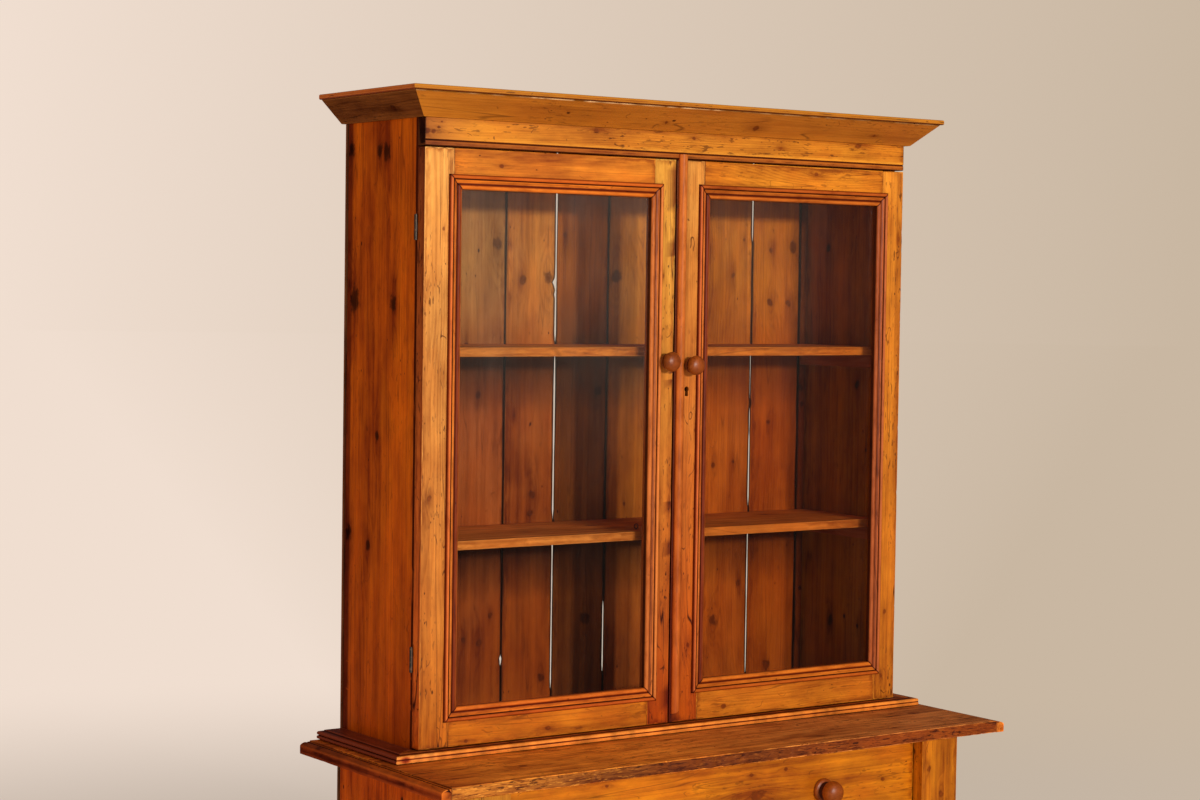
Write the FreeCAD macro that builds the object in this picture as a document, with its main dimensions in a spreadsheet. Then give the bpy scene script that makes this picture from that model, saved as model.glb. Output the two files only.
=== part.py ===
import FreeCAD, Part
import Sketcher
import os, math

# Step back cupboard: a glazed upper case standing on a deeper base with one long drawer over two panelled doors.
# Units are millimetres. +Z is up, the front faces -Y, and the origin is the middle of the footprint at floor level.

doc = FreeCAD.newDocument("step_back_cupboard")
V3 = FreeCAD.Vector

# ---------------------------------------------------------------------------------------------------------------
# Driving dimensions
# ---------------------------------------------------------------------------------------------------------------
SIZES = [
    # upper case
    ("case_width", 1270.0, "outside width over the upper sides"),
    ("side_thick", 20.0, "upper side boards"),
    ("face_y", 33.3, "front plane of the glazed doors, in front of the origin"),
    ("door_thick", 27.0, "glazed doors"),
    ("hinge_gap", 1.0, "between the backs of the doors and the edges of the case"),
    ("case_back", 278.7, "back edges of the sides, behind the origin"),
    ("back_thick", 13.0, "back boards"),
    ("board_gap", 2.4, "open joint between back boards"),
    # heights
    ("counter_top", 821.0, "working surface above the floor"),
    ("counter_thick", 26.0, "countertop"),
    ("waist_thick", 19.0, "moulding round the foot of the upper case"),
    ("door_bottom", 843.0, "lower edge of the glazed doors"),
    ("door_height", 1209.0, "glazed doors"),
    ("frieze_bottom", 2055.0, "lower edge of the frieze"),
    ("crown_foot", 2111.0, "lower edge of the raked crown"),
    ("crown_top", 2159.0, "upper edge of the raked crown"),
    ("total_height", 2170.0, "top of the cap strips"),
    # cornice
    ("crown_out_low", 10.0, "projection of the crown at its foot"),
    ("crown_out_high", 58.0, "projection of the crown at its top"),
    ("crown_board", 24.0, "crown board measured level"),
    ("cap_out", 64.0, "projection of the cap strips"),
    ("cap_width", 84.0, "cap strips"),
    # foot of the upper case
    ("waist_side", 63.0, "projection beside the case"),
    ("waist_front", 48.0, "projection in front of the case boards"),
    # shelves
    ("shelf_thick", 19.0, "both shelves"),
    ("shelf_low", 1255.0, "top of the lower shelf"),
    ("shelf_high", 1651.0, "top of the upper shelf"),
    ("shelf_front", 11.7, "front edges of the shelves, behind the origin"),
    ("cleat_high", 30.0, "shelf cleats"),
    ("cleat_thick", 19.0, "shelf cleats"),
    # glazed doors
    ("left_edge", 12.5, "meeting edge of the left door, left of the origin"),
    ("right_edge", 9.0, "meeting edge of the right door, left of the origin"),
    ("stile_lh", 68.0, "left door, hinge stile"),
    ("stile_lm", 54.5, "left door, meeting stile"),
    ("stile_rm", 73.5, "right door, meeting stile"),
    ("stile_rh", 60.0, "right door, hinge stile"),
    ("rail_lb", 64.0, "left door, bottom rail"),
    ("rail_rb", 72.0, "right door, bottom rail"),
    ("rail_lt", 65.0, "left door, top rail"),
    ("rail_rt", 63.0, "right door, top rail"),
    ("mould_width", 30.0, "bolection mouldings"),
    ("lap_lh", 12.0, "moulding over the frame, left door, hinge side"),
    ("lap_lm", 19.5, "moulding over the frame, left door, meeting side"),
    ("lap_rm", 15.5, "moulding over the frame, right door, meeting side"),
    ("lap_rh", 11.5, "moulding over the frame, right door, hinge side"),
    ("lap_rail", 13.0, "moulding over the rails"),
    ("glass_back", 9.0, "face of the glass behind the door face"),
    ("glass_thick", 3.0, "panes"),
    ("bead_size", 8.0, "inner glazing beads"),
    ("tenon_thick", 9.0, "tenons of the rails"),
    ("tenon_long", 38.0, "tenons of the rails"),
    ("astragal_r", 10.4, "half-round meeting bead"),
    # countertop and base
    ("counter_half", 737.0, "half the length of the countertop"),
    ("counter_front", 291.7, "front edge of the countertop, in front of the origin"),
    ("counter_joint", 41.0, "joint between the two boards, behind the origin"),
    ("base_half", 648.0, "half the width of the base"),
    ("base_front", 236.3, "front plane of the base, in front of the origin"),
    ("base_back", 265.7, "back edges of the base sides, behind the origin"),
    ("base_side", 22.0, "base side boards"),
    ("stile_wide", 104.0, "front stiles of the base"),
    ("stile_thick", 30.0, "front stiles of the base"),
    ("plank_joint", 65.7, "joint in the base sides, behind the origin"),
    ("plinth_high", 96.0, "plinth"),
    ("plinth_thick", 19.0, "plinth"),
    ("floor_board", 100.0, "top of the bottom board"),
    ("floor_thick", 20.0, "bottom board"),
    ("rail_low", 579.0, "underside of the rail below the drawer"),
    ("rail_high", 609.0, "top of the rail below the drawer"),
    # drawer
    ("drawer_low", 611.0, "lower edge of the drawer front"),
    ("drawer_high", 793.0, "upper edge of the drawer front"),
    ("drawer_recess", 29.0, "drawer front behind the stiles, pushed home"),
    ("drawer_front_t", 22.0, "drawer front"),
    ("drawer_side_t", 12.0, "drawer sides and back"),
    ("drawer_gap", 1.0, "beside the drawer"),
    ("drawer_deep", 436.0, "drawer sides"),
    ("drawer_side_h", 152.0, "drawer sides"),
    ("drawer_floor_t", 8.0, "drawer bottom"),
    # lower doors
    ("ldoor_low", 102.0, "lower edge of the lower doors"),
    ("ldoor_high", 577.0, "upper edge of the lower doors"),
    ("ldoor_gap", 1.5, "between a lower door and its stile"),
    ("ldoor_meet", 1.0, "half the gap between the lower doors"),
    ("ldoor_thick", 22.0, "lower doors"),
    ("ldoor_stile", 74.0, "stiles and rails of the lower doors"),
    ("ldoor_panel", 9.0, "panels of the lower doors"),
    # hinges
    ("knuckle_r", 3.3, "upper hinges"),
    ("hinge_high", 50.0, "all butt hinges"),
    ("pin_r", 1.5, "hinge pins"),
    ("bore_r", 1.56, "bores of the knuckles"),
]

sheet = doc.addObject("Spreadsheet::Sheet", "Sizes")
for row, (alias, value, note) in enumerate(SIZES, start=1):
    sheet.set("A%d" % row, alias)
    sheet.set("B%d" % row, repr(value))
    sheet.setAlias("B%d" % row, alias)
    sheet.set("C%d" % row, note)
doc.recompute()


class Dim:
    """A length with its value and the spreadsheet formula that gives it."""

    def __init__(self, value, formula):
        self.value, self.formula = float(value), formula

    def __add__(self, other):
        other = dim(other)
        return Dim(self.value + other.value, "(%s + %s)" % (self.formula, other.formula))

    def __radd__(self, other):
        return dim(other) + self

    def __sub__(self, other):
        other = dim(other)
        return Dim(self.value - other.value, "(%s - %s)" % (self.formula, other.formula))

    def __rsub__(self, other):
        return dim(other) - self

    def __mul__(self, number):
        return Dim(self.value * number, "(%s * %s)" % (self.formula, number))

    __rmul__ = __mul__

    def __neg__(self):
        return Dim(-self.value, "(0 - %s)" % self.formula)


def dim(x):
    return x if isinstance(x, Dim) else Dim(x, "(%s)" % repr(float(x)))


S = {alias: Dim(value, "Sizes." + alias) for alias, value, note in SIZES}
NODES = {}


def bind(obj, prop, length):
    obj.setExpression(prop, dim(length).formula)


def place(obj, x, y, z):
    bind(obj, ".Placement.Base.x", x)
    bind(obj, ".Placement.Base.y", y)
    bind(obj, ".Placement.Base.z", z)


def node(label, obj):
    """Names a finished sub-part."""
    obj.Label = label
    NODES[label] = obj
    return obj


def box(name, x0, x1, y0, y1, z0, z1):
    b = doc.addObject("Part::Box", name)
    b.Length, b.Width, b.Height = dim(x1 - x0).value, dim(y1 - y0).value, dim(z1 - z0).value
    bind(b, "Length", x1 - x0)
    bind(b, "Width", y1 - y0)
    bind(b, "Height", z1 - z0)
    place(b, x0, y0, z0)
    return b


def rod(name, r, x, y, z, axis, length):
    """A round bar from the point x, y, z along +X, +Y or +Z."""
    c = doc.addObject("Part::Cylinder", name)
    c.Radius, c.Height = dim(r).value, dim(length).value
    bind(c, "Radius", r)
    bind(c, "Height", length)
    if axis == "x":
        c.Placement.Rotation = FreeCAD.Rotation(V3(0, 1, 0), 90)
    if axis == "y":
        c.Placement.Rotation = FreeCAD.Rotation(V3(1, 0, 0), -90)
    place(c, x, y, z)
    return c


def fuse(name, parts):
    f = doc.addObject("Part::MultiFuse", name)
    f.Shapes = parts
    return f


def cut(name, base, tools):
    c = doc.addObject("Part::Cut", name)
    c.Base = base
    if len(tools) == 1:
        c.Tool = tools[0]
    else:
        f = doc.addObject("Part::Compound", name + "_tools")
        f.Links = tools
        c.Tool = f
    return c


def group(name, members):
    g = doc.addObject("Part::Compound", name)
    g.Links = members
    return g


PLANES = {"xy": "XY_Plane", "xz": "XZ_Plane", "yz": "YZ_Plane"}


def origin_plane(body, plane):
    for feature in body.Origin.OriginFeatures:
        if feature.Role == PLANES[plane]:
            return feature


def draw(sketch, points, u0, v0, bound=True):
    """Draws one closed outline. A point is (u, v), or ("arc", u, v) for a point that an arc passes through on its way
    to the next point. Every corner is held by its two distances from the sketch's origin."""
    corners, mids = [], []
    for p in points:
        if p[0] == "arc":
            mids[-1] = (dim(p[1]) - u0, dim(p[2]) - v0)
        else:
            corners.append((dim(p[0]) - u0, dim(p[1]) - v0))
            mids.append(None)
    n = len(corners)
    ids = []
    for i in range(n):
        a, b = corners[i], corners[(i + 1) % n]
        pa, pb = V3(a[0].value, a[1].value, 0), V3(b[0].value, b[1].value, 0)
        if mids[i] is None:
            g = sketch.addGeometry(Part.LineSegment(pa, pb), False)
            ids.append((g, 1, 2))
        else:
            pm = V3(mids[i][0].value, mids[i][1].value, 0)
            arc = Part.Arc(pa, pm, pb)
            g = sketch.addGeometry(arc, False)
            start_is_a = sketch.getPoint(g, 1).sub(pa).Length < sketch.getPoint(g, 1).sub(pb).Length
            ids.append((g, 1, 2) if start_is_a else (g, 2, 1))
    for i in range(n):
        g, s, e = ids[i]
        g2, s2, e2 = ids[(i + 1) % n]
        sketch.addConstraint(Sketcher.Constraint("Coincident", g, e, g2, s2))
    for i in range(n):
        g, s, e = ids[i]
        c = sketch.addConstraint(Sketcher.Constraint("DistanceX", -1, 1, g, s, corners[i][0].value))
        sketch.setExpression("Constraints[%d]" % c, corners[i][0].formula)
        c = sketch.addConstraint(Sketcher.Constraint("DistanceY", -1, 1, g, s, corners[i][1].value))
        sketch.setExpression("Constraints[%d]" % c, corners[i][1].formula)
        if mids[i] is not None:
            sketch.addConstraint(Sketcher.Constraint("Radius", g, sketch.Geometry[g].Radius))


def prism(name, plane, points, lo, hi, mitres=None):
    """An outline on a principal plane, padded from lo to hi along that plane's normal. mitres is a list of outlines on
    a second plane, cut through the whole piece: ("xz", [outline, ...])."""
    flat = [(dim(p[-2]), dim(p[-1])) for p in points]
    u0 = min((p[0] for p in flat), key=lambda d: d.value) - 10
    v0 = min((p[1] for p in flat), key=lambda d: d.value) - 10
    body = doc.addObject("PartDesign::Body", name)
    sk = body.newObject("Sketcher::SketchObject", name + "_outline")
    sk.AttachmentSupport = [(origin_plane(body, plane), "")]
    sk.MapMode = "FlatFace"
    doc.recompute()
    draw(sk, points, u0, v0)
    pad = body.newObject("PartDesign::Pad", name + "_pad")
    pad.Profile = sk
    length = dim(hi) - lo
    pad.Length = length.value
    bind(pad, "Length", length)
    if plane == "xz":
        pad.Reversed = True
    body.Tip = pad
    base = {"xy": (u0, v0, dim(lo)), "xz": (u0, dim(lo), v0), "yz": (dim(lo), u0, v0)}[plane]
    place(body, *base)
    doc.recompute()
    if mitres:
        mplane, outlines = mitres
        for k, outline in enumerate(outlines):
            ms = body.newObject("Sketcher::SketchObject", "%s_mitre%d" % (name, k))
            ms.AttachmentSupport = [(origin_plane(body, mplane), "")]
            ms.MapMode = "FlatFace"
            doc.recompute()
            ou, ov = {"xy": (base[0], base[1]), "xz": (base[0], base[2]), "yz": (base[1], base[2])}[mplane]
            draw(ms, outline, ou, ov)
            before = body.Shape.Volume
            pocket = body.newObject("PartDesign::Pocket", "%s_mitre_cut%d" % (name, k))
            pocket.Profile = ms
            pocket.Type = "ThroughAll"
            pocket.Midplane = True
            body.Tip = pocket
            doc.recompute()
            if not body.Shape.Volume < before - 1e-6:
                raise RuntimeError("the mitre of %s cut nothing" % name)
    return body


def turned(name, profile, x, y, z):
    """A turned piece whose axis points along -Y from x, y, z. profile is a list of (radius, distance along the axis)."""
    body = doc.addObject("PartDesign::Body", name)
    sk = body.newObject("Sketcher::SketchObject", name + "_outline")
    sk.AttachmentSupport = [(origin_plane(body, "xy"), "")]
    sk.MapMode = "FlatFace"
    doc.recompute()
    pts = []
    for p in profile:
        pts.append(p)
    corners, mids = [], []
    for p in pts:
        if p[0] == "arc":
            mids[-1] = (float(p[1]), -float(p[2]))
        else:
            corners.append((float(p[0]), -float(p[1])))
            mids.append(None)
    n = len(corners)
    for i in range(n):
        a, b = corners[i], corners[(i + 1) % n]
        if mids[i] is None:
            sk.addGeometry(Part.LineSegment(V3(a[0], a[1], 0), V3(b[0], b[1], 0)), False)
        else:
            sk.addGeometry(Part.Arc(V3(a[0], a[1], 0), V3(mids[i][0], mids[i][1], 0), V3(b[0], b[1], 0)), False)
    for g in range(sk.GeometryCount):
        sk.addConstraint(Sketcher.Constraint("Block", g))
    rev = body.newObject("PartDesign::Revolution", name + "_turning")
    rev.Profile = sk
    rev.ReferenceAxis = (sk, ["V_Axis"])
    rev.Angle = 360.0
    body.Tip = rev
    place(body, x, y, z)
    doc.recompute()
    return body


# ---------------------------------------------------------------------------------------------------------------
# Common planes
# ---------------------------------------------------------------------------------------------------------------
half = S["case_width"] * 0.5
face = -S["face_y"]
door_back = face + S["door_thick"]
case_front = door_back + S["hinge_gap"]
back = S["case_back"]
back_out = back + S["back_thick"]
in_l = -half + S["side_thick"]
in_r = half - S["side_thick"]
c_top = S["counter_top"]
c_low = S["counter_top"] - S["counter_thick"]
w_top = S["counter_top"] + S["waist_thick"]
d_low = S["door_bottom"]
d_high = S["door_bottom"] + S["door_height"]
crown_foot = S["crown_foot"]
crown_top = S["crown_top"]
axis_y = case_front - S["hinge_gap"] * 0.5          # axes of the upper hinges
axis_l = -half - 3.5
axis_r = half + 3.5
HINGE_Z = (d_low + 154, d_low + 1024)               # lower ends of the upper hinges

# ---------------------------------------------------------------------------------------------------------------
# Upper case
# ---------------------------------------------------------------------------------------------------------------
for name, x0, x1 in (("left", -half, in_l), ("right", in_r, half)):
    plank = box("upper_side_%s_board" % name, x0, x1, case_front, back, c_top, crown_top)
    pockets = []
    for k, z in enumerate(HINGE_Z):
        if name == "left":
            pockets.append(box("side_%s_hinge_seat%d" % (name, k), x0 - 1, x0 + 18, case_front - 1, case_front + 1.5, z,
                               z + S["hinge_high"]))
        else:
            pockets.append(box("side_%s_hinge_seat%d" % (name, k), x1 - 18, x1 + 1, case_front - 1, case_front + 1.5, z,
                               z + S["hinge_high"]))
    node("upper_side_" + name, cut("upper_side_" + name, plank, pockets))

node("upper_top_board", box("upper_top_board", in_l, in_r, case_front, back, crown_foot, crown_foot + 20))
bottom = box("upper_bottom_plank", in_l, in_r, case_front, back, w_top, w_top + 18)
bolt_x, bolt_y = dim(-38), dim(-0.8)
bottom_hole = rod("bolt_hole", 3.6, bolt_x, bolt_y, w_top - 1, "z", 20)
node("upper_bottom_board", cut("upper_bottom_board", bottom, [bottom_hole]))

# Ten vertical boards with open joints, nailed to the back edges of the sides.
JOINTS = [-635, -514, -376, -238, -104, 37, 175, 313, 452, 593, 635]
boards = []
for k in range(10):
    x0 = -half if k == 0 else dim(JOINTS[k]) + S["board_gap"] * 0.5
    x1 = half if k == 9 else dim(JOINTS[k + 1]) - S["board_gap"] * 0.5
    boards.append(box("upper_backboard_%d" % k, x0, x1, back, back_out, c_top, crown_top))
node("upper_backboards", group("upper_backboards", boards))

for name, top in (("shelf_lower", S["shelf_low"]), ("shelf_upper", S["shelf_high"])):
    node(name, box(name, in_l, in_r, S["shelf_front"], back, top - S["shelf_thick"], top))

cleats = []
for k, top in enumerate((S["shelf_low"], S["shelf_high"])):
    z1 = top - S["shelf_thick"]
    cleats.append(box("cleat_l%d" % k, in_l, in_l + S["cleat_thick"], S["shelf_front"] + 8, back, z1 - S["cleat_high"], z1))
    cleats.append(box("cleat_r%d" % k, in_r - S["cleat_thick"], in_r, S["shelf_front"] + 8, back, z1 - S["cleat_high"], z1))
node("shelf_cleats", group("shelf_cleats", cleats))

eye_x, eye_y = dim(-45), dim(48)
ring = doc.addObject("Part::Torus", "eye_ring")
ring.Radius1, ring.Radius2 = 5.0, 1.1
ring.Placement.Rotation = FreeCAD.Rotation(V3(1, 0, 0), 90)
place(ring, eye_x, eye_y, S["shelf_low"] + 7)
shank = rod("eye_shank", 1.1, eye_x, eye_y, S["shelf_low"], "z", 2.4)
node("shelf_screw_eye", fuse("shelf_screw_eye", [ring, shank]))

# Frieze: a thick board in the plane of the doors, with a quirked bead run along its lower edge.
fz = S["frieze_bottom"]
node("frieze_board", prism("frieze_board", "yz", [
    (face, fz + 2.5), ("arc", face - 0.0 + 0.6, fz + 0.7), (face + 2.5, fz), (case_front, fz),
    (case_front, crown_top), (face, crown_top), (face, fz + 13), (face + 2.2, fz + 12), (face + 2.2, fz + 10.6),
    (face, fz + 9.6)], -half, half))

# ---------------------------------------------------------------------------------------------------------------
# Cornice
# ---------------------------------------------------------------------------------------------------------------
o1, o2, ob, oc = S["crown_out_low"], S["crown_out_high"], S["crown_board"], S["cap_out"]


def crown_profile(sign, wall):
    """Raked board against a wall plane; sign is the outward direction."""
    return [(wall, crown_foot), (wall + sign * o1, crown_foot), (wall + sign * o2, crown_top),
            (wall + sign * (o2 - ob), crown_top), (wall, crown_foot + (ob - o1))]


far = 120.0
front_mitre = [
    [(-half, face), (-half - far, face - far), (-half - far - 60, face - far), (-half - far - 60, face)],
    [(half, face), (half + far + 60, face), (half + far + 60, face - far), (half + far, face - far)],
]
crown = prism("crown_front", "yz", crown_profile(-1, face), -half - o2, half + o2, ("xy", front_mitre))
node("crown_front", crown)
returns = []
for name, wall, sign in (("left", -half, -1), ("right", half, 1)):
    outline = [(wall, face), (wall + sign * far, face - far), (wall + sign * far, face - far - 60), (wall, face - far - 60)]
    returns.append(prism("crown_return_" + name, "xz", crown_profile(sign, wall), face - o2, back_out, ("xy", [outline])))
node("crown_returns", group("crown_returns", returns))

cf, ci = face - oc, case_front + 0
cap_in_l, cap_in_r = -half - oc + S["cap_width"], half + oc - S["cap_width"]
caps = [
    prism("cap_front", "xy", [(-half - oc, cf), (half + oc, cf), (cap_in_r, ci), (cap_in_l, ci)], crown_top, S["total_height"]),
    prism("cap_left", "xy", [(-half - oc, cf), (cap_in_l, ci), (cap_in_l, back_out), (-half - oc, back_out)], crown_top,
          S["total_height"]),
    prism("cap_right", "xy", [(half + oc, cf), (half + oc, back_out), (cap_in_r, back_out), (cap_in_r, ci)], crown_top,
          S["total_height"]),
]
node("cornice_cap", group("cornice_cap", caps))

# ---------------------------------------------------------------------------------------------------------------
# Moulding round the foot of the upper case: two beads with a quirk between them
# ---------------------------------------------------------------------------------------------------------------
wf, ws = S["waist_front"], S["waist_side"]


def waist_profile(sign, wall, depth):
    edge = wall + sign * depth
    return [(wall, c_top), (wall, w_top), (edge - sign * 18, w_top), (edge - sign * 18, w_top - 1.5),
            (edge - sign * 4, w_top - 1.5), ("arc", edge - sign * 0.5, w_top - 5.2), (edge - sign * 4, w_top - 8.9),
            (edge - sign * 6, w_top - 9.4), (edge - sign * 3.6, w_top - 10.2), ("arc", edge, w_top - 13.8),
            (edge - sign * 3.6, w_top - 17.2), (edge - sign * 7, c_top)]


fw_out = case_front - wf
wait = [
    [(-half - ws, fw_out), (-half - ws, fw_out - 40), (-half - ws - 60, fw_out - 40), (-half - ws - 60, case_front + 60),
     (-half - ws + wf + 60, case_front + 60)],
    [(half + ws, fw_out), (half + ws - wf - 60, case_front + 60), (half + ws + 60, case_front + 60),
     (half + ws + 60, fw_out - 40), (half + ws, fw_out - 40)],
]
node("waist_moulding_front", prism("waist_moulding_front", "yz", waist_profile(-1, case_front, wf), -half - ws, half + ws,
                                   ("xy", wait)))
wr = []
for name, wall, sign in (("left", -half, -1), ("right", half, 1)):
    edge = wall + sign * ws
    corner = edge - sign * wf
    outline = [(edge, fw_out), (corner, case_front), (wall - sign * 5, case_front), (wall - sign * 5, fw_out - 40),
               (edge, fw_out - 40)]
    wr.append(prism("waist_return_" + name, "xz", waist_profile(sign, wall, ws), fw_out, back, ("xy", [outline])))
node("waist_moulding_returns", group("waist_moulding_returns", wr))

# ---------------------------------------------------------------------------------------------------------------
# Countertop: two boards with the same moulded ends
# ---------------------------------------------------------------------------------------------------------------
ch = S["counter_half"]


def counter_profile():
    return [(-ch, c_low), (-ch, c_top - 8), ("arc", -ch + 5, c_top - 4), (-ch + 17, c_top - 2.4), (-ch + 23, c_top - 2.4),
            (-ch + 23, c_top), (ch - 23, c_top), (ch - 23, c_top - 2.4), (ch - 17, c_top - 2.4),
            ("arc", ch - 5, c_top - 4), (ch, c_top - 8), (ch, c_low)]


node("countertop_front_board", prism("countertop_front_board", "xz", counter_profile(), -S["counter_front"], S["counter_joint"]))
node("countertop_back_board", prism("countertop_back_board", "xz", counter_profile(), S["counter_joint"], back))

# ---------------------------------------------------------------------------------------------------------------
# Base
# ---------------------------------------------------------------------------------------------------------------
bh, bf, bb = S["base_half"], -S["base_front"], S["base_back"]
st = bf + S["stile_thick"]
si = bh - S["stile_wide"]                           # inner edges of the front stiles
sides = []
for name, x0, x1 in (("left", -bh, -bh + S["base_side"]), ("right", bh - S["base_side"], bh)):
    sides.append(box("base_side_%s_front" % name, x0, x1, st, S["plank_joint"], 0, c_low))
    sides.append(box("base_side_%s_back" % name, x0, x1, S["plank_joint"], bb, 0, c_low))
node("base_sides", group("base_sides", sides))

# Lower doors hang on the stiles with butt hinges let in flush.
LHINGE_Z = (S["ldoor_low"] + 60, S["ldoor_high"] - 110)
laxis_y = bf - 3.5
gap = S["ldoor_gap"]
stiles = []
for name, sign in (("left", -1), ("right", 1)):
    x_in, x_out = sign * si, sign * bh
    lo, hi = (x_out, x_in) if sign < 0 else (x_in, x_out)
    post = box("base_stile_%s_post" % name, lo, hi, bf, st, 0, c_low)
    seats = []
    for k, z in enumerate(LHINGE_Z):
        a, b = (x_in - 1.2, x_in + 1) if sign < 0 else (x_in - 1, x_in + 1.2)
        seats.append(box("stile_%s_seat%d" % (name, k), a, b, bf - 1, bf + 20.3, z, z + S["hinge_high"]))
    stiles.append(cut("base_stile_" + name, post, seats))
node("base_stiles", group("base_stiles", stiles))

node("base_middle_rail", box("base_middle_rail", -si, si, bf, st + 20, S["rail_low"], S["rail_high"]))
fb = S["floor_board"]
bi = bh - S["base_side"]
node("base_bottom_board", prism("base_bottom_board", "xy", [
    (-si, bf), (si, bf), (si, st), (bi, st), (bi, bb), (-bi, bb), (-bi, st), (-si, st)], fb - S["floor_thick"], fb))

base_boards = []
edges = [-648, -520, -389, -262, -131, 4, 131, 259, 394, 521, 648]
for k in range(10):
    x0 = -bh if k == 0 else dim(edges[k]) + 1
    x1 = bh if k == 9 else dim(edges[k + 1]) - 1
    base_boards.append(box("base_backboard_%d" % k, x0, x1, bb, bb + S["back_thick"], 60, c_low))
node("base_backboards", group("base_backboards", base_boards))

rh = S["rail_high"]
slides = []
for name, sign in (("left", -1), ("right", 1)):
    a, b = (-bi, -si + 30) if sign < 0 else (si - 30, bi)
    slides.append(box("runner_" + name, a, b, st + 20, bb, rh - 20, rh))
    a, b = (-bi, -si - 0.5) if sign < 0 else (si + 0.5, bi)
    slides.append(box("guide_" + name, a, b, st, bb, rh, rh + 24))
node("drawer_runners", group("drawer_runners", slides))

# Plinth: three mitred boards with a chamfered top edge.
ph, pt = S["plinth_high"], S["plinth_thick"]


def plinth_profile(sign, wall):
    return [(wall, 0), (wall + sign * pt, 0), (wall + sign * pt, ph - 16), ("arc", wall + sign * (pt - 3.4), ph - 6),
            (wall + sign * 6, ph), (wall, ph)]


pm = [
    [(-bh, bf), (-bh - far, bf - far), (-bh - far - 60, bf - far), (-bh - far - 60, bf)],
    [(bh, bf), (bh + far + 60, bf), (bh + far + 60, bf - far), (bh + far, bf - far)],
]
plinths = [prism("plinth_front", "yz", plinth_profile(-1, bf), -bh - pt, bh + pt, ("xy", pm))]
for name, wall, sign in (("left", -bh, -1), ("right", bh, 1)):
    outline = [(wall, bf), (wall + sign * far, bf - far), (wall + sign * far, bf - far - 60), (wall, bf - far - 60)]
    plinths.append(prism("plinth_" + name, "xz", plinth_profile(sign, wall), bf - pt, bb + S["back_thick"], ("xy", [outline])))
node("plinth", group("plinth", plinths))

# ---------------------------------------------------------------------------------------------------------------
# Glazed doors
# ---------------------------------------------------------------------------------------------------------------
def mould_profile(w, y, lap):
    """Outline of the bolection moulding. w(n) gives the coordinate n mm in from its outer edge, y(n) the one n mm behind
    the door's face."""
    return [(w(0), y(0)), (w(0), y(-3.4)), ("arc", w(4.4), y(-7.8)), (w(8.8), y(-4.2)), (w(8.8), y(-3)), (w(10.4), y(-3)),
            (w(10.4), y(-5.6)), ("arc", w(13.6), y(-3.1)), (w(19.6), y(-1.9)), (w(19.6), y(-3.4)),
            ("arc", w(25), y(-5)), (w(30), y(-0.6)), (w(30), y(8.9)), (w(lap), y(8.9)), (w(lap), y(0))]


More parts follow.
